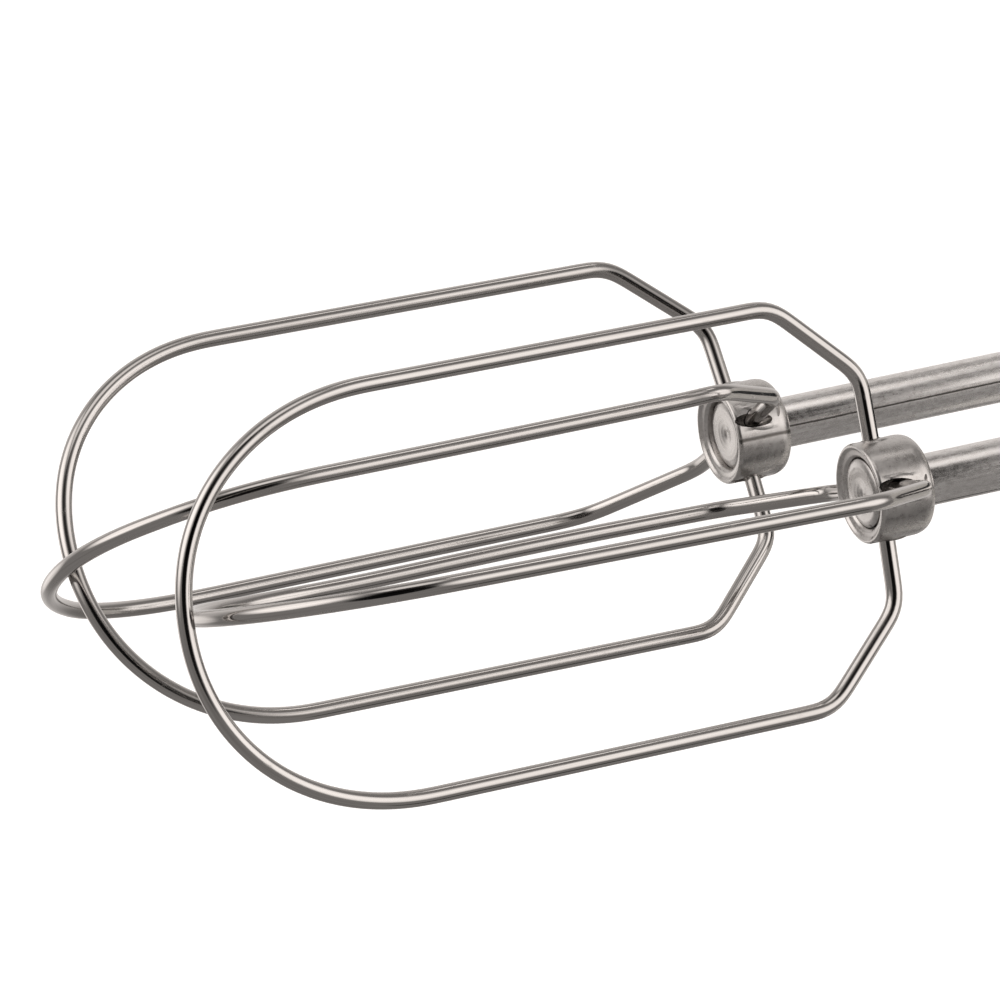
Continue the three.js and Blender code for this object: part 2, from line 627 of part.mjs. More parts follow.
// The body as rings of a superellipse, with a rounded edge at the heel and a closed nose.
function bodyForm(inset = 0) {
  const around = 24;
  const edge = 4;
  const low = HEEL_Z + inset;
  const top = NOSE_Z - inset;
  const heights = [low, low + 0.8, low + edge, 32, 60, 150, 164, 176, 185, 191.5, 194.8];
  const positions = [];
  for (const z of heights) {
    const past = Math.max(low + edge - z, 0);
    const rounding = edge - Math.sqrt(edge ** 2 - past ** 2);
    const scale = bodyScale(z, inset);
    const [lowX, highX] = [-BODY.low * scale, BODY.high * scale];
    const centre = (lowX + highX) / 2;
    const radii = [(highX - lowX) / 2 - inset - rounding, BODY.half * scale - inset - rounding];
    for (let k = 0; k < around; k += 1) {
      const angle = (2 * Math.PI * k) / around;
      const [c, s] = [Math.cos(angle), Math.sin(angle)];
      const power = 2 / BODY.exponent;
      positions.push(centre + radii[0] * Math.sign(c) * Math.abs(c) ** power);
      positions.push(radii[1] * Math.sign(s) * Math.abs(s) ** power, z);
    }
  }
  const index = [];
  for (let ringAt = 0; ringAt < heights.length - 1; ringAt += 1) {
    for (let k = 0; k < around; k += 1) {
      const a = ringAt * around + k;
      const b = ringAt * around + ((k + 1) % around);
      index.push(a, b, a + around, b, b + around, a + around);
    }
  }
  const heelCentre = positions.length / 3;
  positions.push(-2, 0, low, 0, 0, top);
  for (let k = 0; k < around; k += 1) {
    const next = (k + 1) % around;
    const lastRing = (heights.length - 1) * around;
    index.push(heelCentre, next, k, heelCentre + 1, lastRing + k, lastRing + next);
  }
  const geometry = new THREE.BufferGeometry();
  geometry.setAttribute('position', new THREE.Float32BufferAttribute(positions, 3));
  geometry.setIndex(index);
  return solid(geometry);
}

// The handle loop and its two pillars: a side profile with round edges. grow moves every face out.
function handleForm(grow = 0) {
  const { width, bevel, topX } = HANDLE;
  const { lowX, highX, lowZ, highZ, corner } = FINGER_GAP;
  const outline = roundedShape([[-12, HEEL_Z, 0], [topX, HEEL_Z, 17], [topX, 196, 24], [-12, 186, 0]]);
  const gap = [[lowX, lowZ, corner], [highX, lowZ, corner], [highX, highZ, corner], [lowX, highZ, corner]];
  outline.holes.push(roundedShape(gap, THREE.Path));
  const depth = width - 2 * bevel;
  const options = {
    bevelEnabled: true,
    bevelThickness: bevel + grow,
    bevelSize: bevel + grow,
    bevelOffset: -bevel,
    bevelSegments: 3,
    curveSegments: 4,
  };
  return slab('xz', outline, -depth / 2, depth / 2, options);
}

function screwBosses() {
  return union(Object.values(SCREWS).map(({ x, z }) => bar('y', 4.3, -40, 40, x, z, 8)));
}

function screwHoles() {
  return Object.values(SCREWS).flatMap(({ x, z, seat }) => [
    bar('y', SCREW.shankR + FIT, seat - SCREW.length - 2, seat + 1, x, z, 8),
    bar('y', SCREW.headR + 0.4, seat, 45, x, z, 10),
  ]);
}

// Openings through the housing's walls: shafts, controls, cord inlet and cooling slots.
function housingOpenings() {
  const { lowZ, highZ, half, selectorZ, turboZ, ejectZ } = CONTROL;
  const top = HANDLE.topX;
  const tools = [
    box([top - 1.5, -half - FIT, lowZ - FIT], [top + 8, half + FIT, highZ + FIT]),
    box([top - 8, -2.4, selectorZ - 4], [top, 2.4, selectorZ + SPEED_TRAVEL + 4]),
    bar('x', 7, top - 8, top, 0, turboZ, 20),
    box([top - 8, -7.9, ejectZ - 7.4], [top, 7.9, ejectZ + 7.4]),
    bar('x', 6.3, top - 6, top + 6, 0, CORD_Z, 20),
  ];
  for (const y of [-BEATER_SPREAD / 2, BEATER_SPREAD / 2]) {
    tools.push(bar('x', 6.6, -46, -26, y, BEATER_Z, 20));
  }
  const slots = 6;
  for (let k = 0; k < slots; k += 1) {
    const z = 24 + 5.6 * k;
    tools.push(box([-17, -50, z], [11, 50, z + 2.4]));
  }
  return tools;
}

// A web inside the front pillar that guides the eject rod and carries its spring.
function springWeb() {
  const web = box([58, -17.5, CONTROL.ejectZ - 12], [60.5, 17.5, CONTROL.ejectZ + 12]);
  return web.subtract(bar('x', 3.5, 50, 70, 0, CONTROL.ejectZ, 12));
}

const bodyOuter = bodyForm();
const outerForm = bodyOuter.add(handleForm());

function addHousing() {
  const hollow = outerForm.subtract(bodyForm(WALL)).subtract(handleForm(-WALL));
  const inside = union([screwBosses(), springWeb()]).intersect(outerForm);
  const housing = cut(hollow.add(inside), [...screwHoles(), ...housingOpenings()]);
  const leftSide = box([-60, -60, -10], [110, -SPLIT_GAP, 220]);
  const rightSide = box([-60, SPLIT_GAP, -10], [110, 60, 220]);
  piece('housing_left', housing.intersect(leftSide), MATERIALS.shell);
  piece('housing_right', housing.intersect(rightSide), MATERIALS.shell);
  piece('socket_collar', socketCollar(), MATERIALS.darkPlastic);
  piece('heel_pad', heelPad(), MATERIALS.rubber);
  piece('handle_grip', handleGrip(), MATERIALS.softGrip);
  piece('cord_inlet', cordInlet(), MATERIALS.darkPlastic);
  for (const [place, { x, z, seat }] of Object.entries(SCREWS)) {
    piece(`housing_screw_${place}`, housingScrew(seat).translate([x, 0, z]), MATERIALS.steel);
  }
}

// A cross-head screw along Y. The head sits on `seat` and the point is on the other side of the split.
function housingScrew(seat) {
  const { shankR, headR, headHeight, length } = SCREW;
  const point = seat - length;
  const top = seat + 0.1 + headHeight;
  const screw = turned('y', [[0, point], [shankR, point + 1], [shankR, seat + 0.1], [headR, seat + 0.1],
    [headR, top - 0.6], [headR - 0.8, top], [0, top]], 0, 0, 8);
  const recess = [[0.35, 1.6], [1.6, 0.35]].map(([x, z]) => box([-x, top - 1.2, -z], [x, top + 1, z]));
  return cut(screw, recess);
}

// The raised collar round both beater sockets, seated on the body's curved underside.
function socketCollar() {
  const reach = BEATER_SPREAD / 2;
  const outline = rectangle(-reach - 10.5, BEATER_Z - 10.5, reach + 10.5, BEATER_Z + 10.5, 9.8);
  const block = slab('yz', outline, -39.8, -22, {
    bevelEnabled: true, bevelThickness: 2, bevelSize: 2, bevelOffset: -2, bevelSegments: 2,
  });
  const bores = [-reach, reach].flatMap((y) => [
    bar('x', 4.4, -45, -20, y, BEATER_Z, 20),
    turned('x', [[0, -42], [6.2, -42], [4.4, -39.5], [0, -39.5]], y, BEATER_Z, 20),
  ]);
  const seat = bodyForm(-0.25).intersect(box([-60, -60, 60], [60, 60, 196]));
  return cut(block, [seat, ...bores]);
}

function heelPad() {
  const main = slab('xy', rectangle(-26, -27, 22, 27, 18), 0, HEEL_Z - FIT);
  const tongue = slab('xy', rectangle(10, -9, 72, 9, 6), 0, HEEL_Z - FIT);
  return main.add(tongue);
}

// The soft insert wraps the finger side of the handle bar.
function handleGrip() {
  const reach = box([50, -30, 58], [72, 30, 118]);
  return handleForm(1.4).intersect(reach).subtract(handleForm(0.25));
}

function cordInlet() {
  const { topX } = HANDLE;
  const neck = [[0, topX - 5], [5.9, topX - 5], [5.9, topX + FIT]];
  const flange = [[8, topX + FIT], [7.6, topX + 2], [5, topX + 4], [0, topX + 4]];
  const hole = bar('x', 3.5, topX - 10, topX + 10, 0, CORD_Z, 16);
  return turned('x', [...neck, ...flange], 0, CORD_Z, 20).subtract(hole);
}

// ---- Controls ------------------------------------------------------------------------------

function controlPlate() {
  const { lowZ, highZ, half, selectorZ, turboZ, ejectZ } = CONTROL;
  const top = HANDLE.topX;
  const plate = slab('yz', rectangle(-half, lowZ, half, highZ, 3), top - 1.2, top + 0.6);
  return cut(plate, [
    box([top - 8, -2.2, selectorZ - 3.6], [top + 8, 2.2, selectorZ + SPEED_TRAVEL + 3.6]),
    bar('x', 6.9, top - 8, top + 8, 0, turboZ, 20),
    box([top - 8, -7.7, ejectZ - 7.2], [top + 8, 7.7, ejectZ + 7.2]),
  ]);
}

function speedSelector() {
  const top = HANDLE.topX;
  const z = CONTROL.selectorZ;
  const knob = slab('xz', roundedShape([[top + 1, z - 8, 1], [top + 1, z + 8, 1], [top + 5.5, z + 7, 2],
    [top + 4, z, 0], [top + 5.5, z - 7, 2]]), -7.5, 7.5);
  const ribs = [-3, 0, 3].map((dz) => box([top + 3, -6.5, z + dz - 0.5], [top + 5.6, 6.5, z + dz + 0.5]));
  const prong = box([70.6, -1.7, z - 3], [top + 1.5, 1.7, z + 3]);
  return union([knob, prong, ...ribs]);
}

function turboButton() {
  const top = HANDLE.topX;
  const plunger = [[0, 75.7], [2, 75.7], [2, 78], [6.5, 78]];
  const cap = [[6.5, top + 2.6], [5.6, top + 3.6], [0, top + 4]];
  return turned('x', [...plunger, ...cap], 0, CONTROL.turboZ, 20);
}

function ejectButton() {
  const top = HANDLE.topX;
  const z = CONTROL.ejectZ;
  return slab('yz', rectangle(-7.4, z - 6.9, 7.4, z + 6.9, 2.5), 76, top + 3.9, {
    bevelEnabled: true, bevelThickness: 1.2, bevelSize: 1.2, bevelOffset: -1.2, bevelSegments: 2,
    curveSegments: 3,
  });
}

// Rod from the eject button down to the plate that pushes both ejector pins.
function ejectFork() {
  const z = CONTROL.ejectZ;
  const plateX = PIN_HEAD_X + 2 + FIT;
  const reach = BEATER_SPREAD / 2 + 3.5;
  const sides = [[reach, BEATER_Z - 5], [reach, BEATER_Z + 5], [7, z + 6]];
  const others = sides.map(([y, height]) => [-y, height]).reverse();
  const outline = roundedShape([...sides, ...others].map((corner) => [...corner, 4]));
  const plate = slab('yz', outline, plateX, plateX + 2);
  const rod = bar('x', 3, plateX + 1, 74.2, 0, z);
  const collar = bar('x', 5.6, 72.4, 74.2, 0, z);
  return union([plate, rod, collar]);
}

// The switches under both the speed selector and the turbo button.
function switchBlock() {
  const { selectorZ, turboZ } = CONTROL;
  const block = box([67.9, -7, selectorZ - 7], [72.9, 7, turboZ + 5]);
  return block.subtract(box([70, -2.2, selectorZ - 4], [75, 2.2, selectorZ + SPEED_TRAVEL + 4]));
}

function addControls() {
  piece('control_plate', controlPlate(), MATERIALS.darkPlastic);
  piece('speed_selector', speedSelector(), MATERIALS.shell);
  piece('turbo_button', turboButton(), MATERIALS.shell);
  piece('eject_button', ejectButton(), MATERIALS.shell);
  piece('eject_fork', ejectFork(), MATERIALS.nylon);
  piece('eject_spring', spring('x', 4.4, 0.4, 60.8, 72.1, 5, 0, CONTROL.ejectZ), MATERIALS.steel);
  piece('circuit_board', box([66, -11, 96], [67.6, 11, 156]), MATERIALS.board);
  piece('switch_block', switchBlock(), MATERIALS.carbon);
}

addHousing();
addControls();
addMotor();
addRotor();
for (const [side, sign] of [['left', -1], ['right', 1]]) {
  addSpindle(side, sign);
  addBeater(side, sign);
}

export default mixer;
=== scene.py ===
"""Looks for the hand mixer: fine wires, hubs, shafts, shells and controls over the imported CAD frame.
Lengths are in millimetres inside the builders and become metres in make(). +Z runs up from the heel to
the nose, and -X is the way the beaters point."""
import json
import math

import bmesh
import bpy
import numpy as np
from mathutils import Matrix, Vector


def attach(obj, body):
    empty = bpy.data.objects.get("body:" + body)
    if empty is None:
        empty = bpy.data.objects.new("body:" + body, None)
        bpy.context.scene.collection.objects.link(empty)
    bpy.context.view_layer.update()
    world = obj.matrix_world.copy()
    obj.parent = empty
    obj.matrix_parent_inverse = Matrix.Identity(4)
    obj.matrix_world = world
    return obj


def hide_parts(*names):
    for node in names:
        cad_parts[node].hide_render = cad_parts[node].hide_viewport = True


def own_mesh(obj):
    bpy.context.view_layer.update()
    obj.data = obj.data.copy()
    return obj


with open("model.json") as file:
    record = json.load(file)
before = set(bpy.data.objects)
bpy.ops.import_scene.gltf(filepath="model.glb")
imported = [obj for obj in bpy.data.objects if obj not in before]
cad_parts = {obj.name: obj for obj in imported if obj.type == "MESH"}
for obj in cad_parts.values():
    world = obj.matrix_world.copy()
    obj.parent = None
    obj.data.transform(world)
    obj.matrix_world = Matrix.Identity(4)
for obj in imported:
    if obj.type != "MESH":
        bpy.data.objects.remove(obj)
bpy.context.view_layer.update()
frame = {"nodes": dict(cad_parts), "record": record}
MM = 0.001

# ---- Shared dimensions, as in the CAD ---------------------------------------------------------
BEATER_Z = 150.0
HALF_SPREAD = 19.0
BEATER_Y = {"left": -HALF_SPREAD, "right": HALF_SPREAD}
HUB_FRONT_X = -98.5
HUB_R = 6.1
HUB_LIP = 0.4  # the rim stands this far in front of HUB_FRONT_X
HUB_BACK = 7.2
SHAFT_R = 3.15
SHAFT_END_X = 4.0
WIRE_R = 1.0
# One side of a wire loop as (distance in front of the hub's face, distance from the axis): where the wire
# enters the hub, the two bends, and the end of the straight leg. The tip is a superellipse.
ENTRY, NECK, SHOULDER, STRAIGHT_END = (-2.4, 2.6), (-2.2, 14.0), (8.3, 24.1), (61.0, 24.1)
BENDS = (1.8, 2.2)
ROUNDNESS = 2.1
# Each loop as bent: tip in mm, phase, lean and skew in degrees, shift and bow in mm.
LOOPS = {
    "left": {"outer": (88.0, 11.0, 0.8, 2.2, -0.3, 0.0), "inner": (84.0, 102.6, 1.2, 1.2, 0.2, 0.65)},
    "right": {"inner": (85.6, 30.4, 1.2, -1.0, 0.0, 0.0), "outer": (88.0, 119.4, -0.3, 0.1, 3.2, 0.0)},
}
# The shells. The body narrows above NOSE_FROM and below HEEL_TO, and BODY_POWER is how square it is.
WALL = 2.5
SPLIT_GAP = 0.15
HEEL_Z, NOSE_Z, NOSE_FROM, HEEL_TO = 2.1, 199.0, 150.0, 60.0
BODY_LOW, BODY_HIGH, BODY_HALF, BODY_POWER = 37.0, 31.0, 40.0, 2.7
HANDLE_HALF, HANDLE_ROUND, TOP_X = 19.0, 10.0, 84.0
GAP_LOW_X, GAP_HIGH_X, GAP_LOW_Z, GAP_HIGH_Z, GAP_CORNER = 31.0, 59.0, 44.0, 132.0, 13.0
VENTS, VENT_FIRST, VENT_PITCH, VENT_TALL = 6, 24.0, 5.6, 2.4
CORD_Z, CORD_R = 22.0, 3.5
# Each screw's X, its Z, and the Y of its head's seat.
SCREWS = {
    "side": (-22.0, 114.0, 12.0),
    "heel": (-2.0, 8.4, 12.0),
    "nose": (6.0, 184.0, 12.0),
    "handle": (48.0, 22.0, 6.0),
}
BOSS_R, WELL_R, SHANK_HOLE_R = 4.3, 3.1, 1.7
# The controls, in the top of the handle.
PLATE_LOW, PLATE_HIGH, PLATE_HALF = 92.0, 176.0, 9.3
SELECTOR_Z, SPEED_TRAVEL, SPEEDS = 106.0, 20.0, 6
TURBO_Z, TURBO_R = 147.0, 6.5
EJECT_Z, EJECT_HALF_Y, EJECT_HALF_Z = 165.0, 7.4, 6.9

# ---- Marks that handwork left on each beater, with a painted reflection line along each score ---
HUB_SCORE_WITH_PAINTED_REFLECTION = {"left": -62.0, "right": 7.0}  # angle of the score along each hub, in degrees above -Y; the score is also painted dark as a reflection line
SHAFT_SCORE_WITH_PAINTED_REFLECTION = {"left": -48.0, "right": 7.0}  # the same along each shaft, also painted dark as a reflection line
SLIT_SHIFT = {"left": 0.4, "right": -0.4}  # how far each hub's slits miss the middle of their wires
RIVET_DEPTH = {"left": 0.0, "right": 0.65}  # how far each riveted face was driven in

WIRE_SIDES = 28


# ---- Mesh helpers -----------------------------------------------------------------------------
def make(name, points, faces, smooth=True):
    """A mesh object from points in millimetres."""
    mesh = bpy.data.meshes.new(name)
    mesh.from_pydata([tuple(p) for p in np.asarray(points, float) * MM], [], [tuple(f) for f in faces])
    mesh.update()
    obj = bpy.data.objects.new(name, mesh)
    bpy.context.scene.collection.objects.link(obj)
    if smooth:
        mesh.shade_smooth()
    return obj


def outward(obj):
    """Turns every face of a closed mesh to point out."""
    bm = bmesh.new()
    bm.from_mesh(obj.data)
    bmesh.ops.recalc_face_normals(bm, faces=bm.faces)
    bm.to_mesh(obj.data)
    bm.free()
    return obj


def apply_modifiers(obj):
    """Bakes the modifiers into the mesh."""
    graph = bpy.context.evaluated_depsgraph_get()
    mesh = bpy.data.meshes.new_from_object(obj.evaluated_get(graph))
    obj.modifiers.clear()
    old = obj.data
    obj.data = mesh
    bpy.data.meshes.remove(old)
    return obj


def boolean(obj, other, operation="DIFFERENCE"):
    """Cuts, joins or intersects obj with other, and removes other."""
    modifier = obj.modifiers.new("cut", "BOOLEAN")
    modifier.operation = operation
    modifier.solver = "MANIFOLD"
    modifier.object = other
    apply_modifiers(obj)
    bpy.data.objects.remove(other)
    return obj


def duplicate(obj):
    """A second object with its own copy of the mesh."""
    other = obj.copy()
    other.data = obj.data.copy()
    bpy.context.scene.collection.objects.link(other)
    return other


def bevel(obj, width, segments, angle):
    """Rounds the edges where faces meet at more than the angle."""
    modifier = obj.modifiers.new("edge", "BEVEL")
    modifier.width = width * MM
    modifier.segments = segments
    modifier.limit_method = "ANGLE"
    modifier.angle_limit = math.radians(angle)
    modifier.use_clamp_overlap = True
    apply_modifiers(obj)
    return sharpen(obj)


def sharpen(obj, angle=32):
    """Smooth shading, with sharp edges where faces meet at more than the angle."""
    obj.data.shade_smooth()
    obj.data.set_sharp_from_angle(angle=math.radians(angle))
    return obj


def lathe(name, profile, sides=64, axis="x", centre=(0, 0, 0)):
    """A turned solid. Its profile is [(radius, place along the axis)], from the axis back to the axis."""
    points, faces, rings = [], [], []
    for radius, place in profile:
        if radius == 0:
            rings.append([len(points)])
            points.append((place, 0, 0))
            continue
        rings.append(list(range(len(points), len(points) + sides)))
        for k in range(sides):
            a = 2 * math.pi * k / sides
            points.append((place, radius * math.cos(a), radius * math.sin(a)))
    for low, high in zip(rings, rings[1:]):
        for k in range(sides):
            n = (k + 1) % sides
            face = [low[k % len(low)], low[n % len(low)], high[n % len(high)], high[k % len(high)]]
            faces.append(list(dict.fromkeys(face)))
    points = np.array(points, float)
    if axis == "y":
        points = points[:, [2, 0, 1]]
    if axis == "z":
        points = points[:, [1, 2, 0]]
    return sharpen(outward(make(name, points + np.array(centre, float), faces)))


def corner_arc(before, here, after, reach, most, steps):
    """The curve that rounds one corner, from reach in front of it to reach behind it."""
    before, here, after = (np.array(point, float) for point in (before, here, after))
    start = here + (before - here) * min(reach / np.linalg.norm(before - here), most)
    end = here + (after - here) * min(reach / np.linalg.norm(after - here), most)
    turns = np.linspace(0, 1, steps + 1)
    return [tuple((1 - t) ** 2 * start + 2 * t * (1 - t) * here + t * t * end) for t in turns]


def arc_corner(profile, rounds, steps=5):
    """Rounds the corners of an open profile. rounds gives a radius for each point, 0 to leave it."""
    out = []
    for i, (point, radius) in enumerate(zip(profile, rounds)):
        if radius <= 0 or i in (0, len(profile) - 1):
            out.append(point)
        else:
            out += corner_arc(profile[i - 1], point, profile[i + 1], radius, 0.5, steps)
    return out


def rounded_outline(corners, steps=8):
    """A closed outline through (x, y, radius) corners."""
    out = []
    for i, (x, y, radius) in enumerate(corners):
        before, after = corners[i - 1][:2], corners[(i + 1) % len(corners)][:2]
        if radius <= 0:
            out.append((float(x), float(y)))
        else:
            out += corner_arc(before, (x, y), after, radius, math.inf, steps)
    return out


def placed(flat, plane):
    """Points given as (u, v, place) in a plane ('xy', 'xz' or 'yz') and along the axis that is left."""
    flat = np.asarray(flat, float)
    points = np.empty_like(flat)
    for source, target in enumerate({"xy": (0, 1, 2), "xz": (0, 2, 1), "yz": (1, 2, 0)}[plane]):
        points[:, target] = flat[:, source]
    return points


def prism(name, outline, low, high, plane):
    """An outline extruded from low to high along the axis that is not in its plane."""
    n = len(outline)
    points = placed([[u, v, w] for w in (low, high) for u, v in outline], plane)
    faces = [list(range(n)), list(range(n, 2 * n))]
    faces += [[k, (k + 1) % n, (k + 1) % n + n, k + n] for k in range(n)]
    return outward(make(name, points, faces, smooth=False))


def rect(x0, y0, x1, y1, r, steps=8):
    """The outline of a rectangle with rounded corners."""
    return rounded_outline([(x0, y0, r), (x1, y0, r), (x1, y1, r), (x0, y1, r)], steps)


def block(name, low, high):
    """A box between two corners."""
    outline = [(low[0], low[1]), (high[0], low[1]), (high[0], high[1]), (low[0], high[1])]
    return prism(name, outline, low[2], high[2], "xy")


def rod(name, axis, radius, low, high, centre=(0, 0, 0), sides=48):
    """A cylinder from low to high along an axis."""
    return lathe(name, [(0, low), (radius, low), (radius, high), (0, high)], sides, axis, centre)


def sweep(name, path, radius, sides=20, squeeze=None):
    """A closed tube along points. squeeze gives each point's thickness across the bend, 1 for round."""
    path = np.asarray(path, float)
    tangent = np.gradient(path, axis=0)
    tangent /= np.linalg.norm(tangent, axis=1)[:, None]
    normal = np.cross(tangent[0], [0.3, 0.5, 0.81])
    normal /= np.linalg.norm(normal)
    length = np.concatenate([[0], np.cumsum(np.linalg.norm(np.diff(path, axis=0), axis=1))])
    angles = 2 * math.pi * np.arange(sides) / sides
    points = []
    for i, (p, t) in enumerate(zip(path, tangent)):
        normal = normal - t * np.dot(normal, t)
        normal /= np.linalg.norm(normal)
        side = np.cross(t, normal)
        flat = 1.0 if squeeze is None else squeeze[i]
        ring = np.outer(np.cos(angles), normal) * flat + np.outer(np.sin(angles), side) / math.sqrt(flat)
        points.append(p + ring * radius)
    points = np.concatenate(points)
    faces, uvs = [], []
    for i in range(len(path) - 1):
        for k in range(sides):
            n = (k + 1) % sides
            faces.append((i * sides + k, i * sides + n, (i + 1) * sides + n, (i + 1) * sides + k))
            uvs += [(length[i], k), (length[i], k + 1), (length[i + 1], k + 1), (length[i + 1], k)]
    last = (len(path) - 1) * sides
    faces += [tuple(range(sides))[::-1], tuple(range(last, last + sides))]
    uvs += [(0, 0)] * (2 * sides)
    obj = make(name, points, faces)
    layer = obj.data.uv_layers.new(name="wire")
    flat = np.array(uvs, float) * np.array([MM, 2 * math.pi * radius * MM / sides])
    layer.data.foreach_set("uv", flat.ravel())
    return obj


# ---- Materials --------------------------------------------------------------------------------
class Nodes:
    """A short way to write the node tree of a material or a world."""

    def __init__(self, owner):
        owner.use_nodes = True
        self.tree = owner.node_tree
        self.tree.nodes.clear()

    def add(self, kind, inputs=None, **settings):
        node = self.tree.nodes.new(kind)
        for key, value in settings.items():
            setattr(node, key, value)
        for key, value in (inputs or {}).items():
            self.fill(node.inputs[key], value)
        return node

    def fill(self, socket, value):
        """Links a socket, or sets a plain value."""
        if isinstance(value, bpy.types.NodeSocket):
            self.tree.links.new(value, socket)
        else:
            socket.default_value = value

    def mapped(self, source, scale):
        return self.add("ShaderNodeMapping", {"Vector": source, "Scale": scale}).outputs["Vector"]

    def noise(self, vector, scale, detail=3.0, roughness=0.55):
        inputs = {"Vector": vector, "Scale": scale, "Detail": detail, "Roughness": roughness}
        return self.add("ShaderNodeTexNoise", inputs).outputs["Fac"]

    def remap(self, value, low, high, to_low, to_high):
        node = self.add("ShaderNodeMapRange", {0: value, 1: low, 2: high, 3: to_low, 4: to_high})
        return node.outputs["Result"]

    def math(self, operation, a, b=0.0):
        return self.add("ShaderNodeMath", {0: a, 1: b}, operation=operation).outputs["Value"]

    def vector(self, operation, a, b=(0, 0, 0), output="Vector"):
        return self.add("ShaderNodeVectorMath", {0: a, 1: b}, operation=operation).outputs[output]

    def blend(self, a, b, share):
        """A weighted sum of two values. The weights share and 1 - share add up to 1."""
        rest = self.math("MULTIPLY", b, round(1 - share, 3))
        return self.math("ADD", self.math("MULTIPLY", a, share), rest)

    def ramp(self, value, start, end):
        """From one colour to another as value goes from 0 to 1. start is a colour or a colour's socket."""
        if not isinstance(start, bpy.types.NodeSocket):
            start = (*start, 1)
        node = self.add("ShaderNodeMix", data_type="RGBA")
        for socket, content in ((0, value), (6, start), (7, (*end, 1))):
            self.fill(node.inputs[socket], content)
        return node.outputs[2]

    def finish(self, base, rough, height, bump, depth, metallic=1.0, coat=0.0, specular=0.5):
        """Ends the tree in a shader, with its bump's strength and depth in metres."""
        relief = self.add("ShaderNodeBump", {"Height": height, "Strength": bump, "Distance": depth})
        shader = self.add("ShaderNodeBsdfPrincipled", {
            "Base Color": base, "Roughness": rough, "Metallic": metallic, "Normal": relief.outputs["Normal"],
            "Coat Weight": coat, "Specular IOR Level": specular,
        })
        self.add("ShaderNodeOutputMaterial", {"Surface": shader.outputs["BSDF"]})


def shades(color, spread):
    """A darker and a lighter shade of a colour."""
    return [max(0.0, c * (1 - spread)) for c in color], [min(1.0, c * (1 + spread)) for c in color]


def surface(name, color, roughness, metallic=0.0, spread=0.08, grain=(1, 1, 1), size=900.0, rough_spread=0.08,
            bump=0.1, depth=0.00002, fine=9000.0, coat=0.0, specular=0.5):
    """A material with uneven colour and roughness and a fine grain. grain stretches it along an axis."""
    material = bpy.data.materials.new(name)
    n = Nodes(material)
    place = n.add("ShaderNodeTexCoord").outputs["Object"]
    stretched = n.mapped(place, grain)
    cloud = n.noise(place, size * 0.12, 4.0)
    streak = n.noise(stretched, size, 5.0, 0.6)
    dust = n.noise(stretched, fine, 2.0)
    base = n.ramp(n.remap(n.blend(cloud, streak, 0.45), 0.35, 0.65, 0.0, 1.0), *shades(color, spread))
    smooth, dull = max(0.02, roughness - rough_spread), min(1.0, roughness + rough_spread)
    rough = n.remap(n.blend(streak, cloud, 0.6), 0.3, 0.7, smooth, dull)
    n.finish(base, rough, n.blend(streak, dust, 0.6), bump, depth, metallic, coat, specular)
    return material


def score_line_with_painted_reflection(n, side, angle, width, length):
    """A fine score along X at one angle round a beater's axis, which the materials both dent and paint near
    black
    as a painted reflection line: 1 in the line, 0 outside it. A greater length closes more of its gaps."""
    place = n.add("ShaderNodeTexCoord").outputs["Object"]
    turn = math.radians(angle)
    middle = (0, BEATER_Y[side] * MM, BEATER_Z * MM)
    from_axis = n.vector("SUBTRACT", place, middle)
    across_line = n.vector("DOT_PRODUCT", from_axis, (0, math.sin(turn), math.cos(turn)), "Value")
    toward_line = n.vector("DOT_PRODUCT", from_axis, (0, -math.cos(turn), math.sin(turn)), "Value")
    wander = n.math("MULTIPLY", n.noise(n.mapped(place, (120, 120, 120)), 1.0, 2.0), width * MM * 1.5)
    off = n.math("ABSOLUTE", n.math("ADD", across_line, wander))
    line = n.remap(off, 0.3 * width * MM, width * MM, 1.0, 0.0)
    patchy = n.noise(n.mapped(place, (1400, 300, 300)), 1.0, 3.0)
    gaps = n.remap(patchy, 0.5 - length, 0.62 - length, 0.0, 1.0)
    return n.math("MULTIPLY", n.math("MULTIPLY", line, gaps), n.math("GREATER_THAN", toward_line, 0.0))


def wire_material():
    """Bright drawn wire: faint draw lines along it, a few scuffs, and tool marks where it was bent."""
    material = bpy.data.materials.new("wire_steel")
    n = Nodes(material)
    uv = n.add("ShaderNodeTexCoord").outputs["UV"]
    lines = n.noise(n.mapped(uv, (25, 1800, 1)), 1.0, 4.0, 0.6)
    scuffs = n.noise(n.mapped(uv, (260, 700, 1)), 1.0, 5.0, 0.7)
    patches = n.noise(n.mapped(uv, (60, 120, 1)), 1.0, 3.0, 0.5)
    worked = n.add("ShaderNodeAttribute", attribute_name="worked").outputs["Fac"]
    dents = n.noise(n.mapped(uv, (1500, 900, 1)), 1.0, 4.0, 0.7)
    struck = n.math("MULTIPLY", worked, n.remap(dents, 0.42, 0.6, 0.0, 1.0))
    worn = n.math("ADD", n.remap(scuffs, 0.6, 0.72, 0.0, 1.0), struck)
    rough = n.math("ADD", n.remap(patches, 0.3, 0.7, 0.07, 0.19), n.math("MULTIPLY", worn, 0.24))
    base = n.ramp(n.remap(lines, 0.3, 0.7, 0.0, 1.0), (0.46, 0.44, 0.425), (0.62, 0.6, 0.585))
    height = n.math("ADD", n.blend(lines, scuffs, 0.7), n.math("MULTIPLY", struck, 1.6))
    n.finish(base, rough, height, 0.18, 0.00003)
    return material


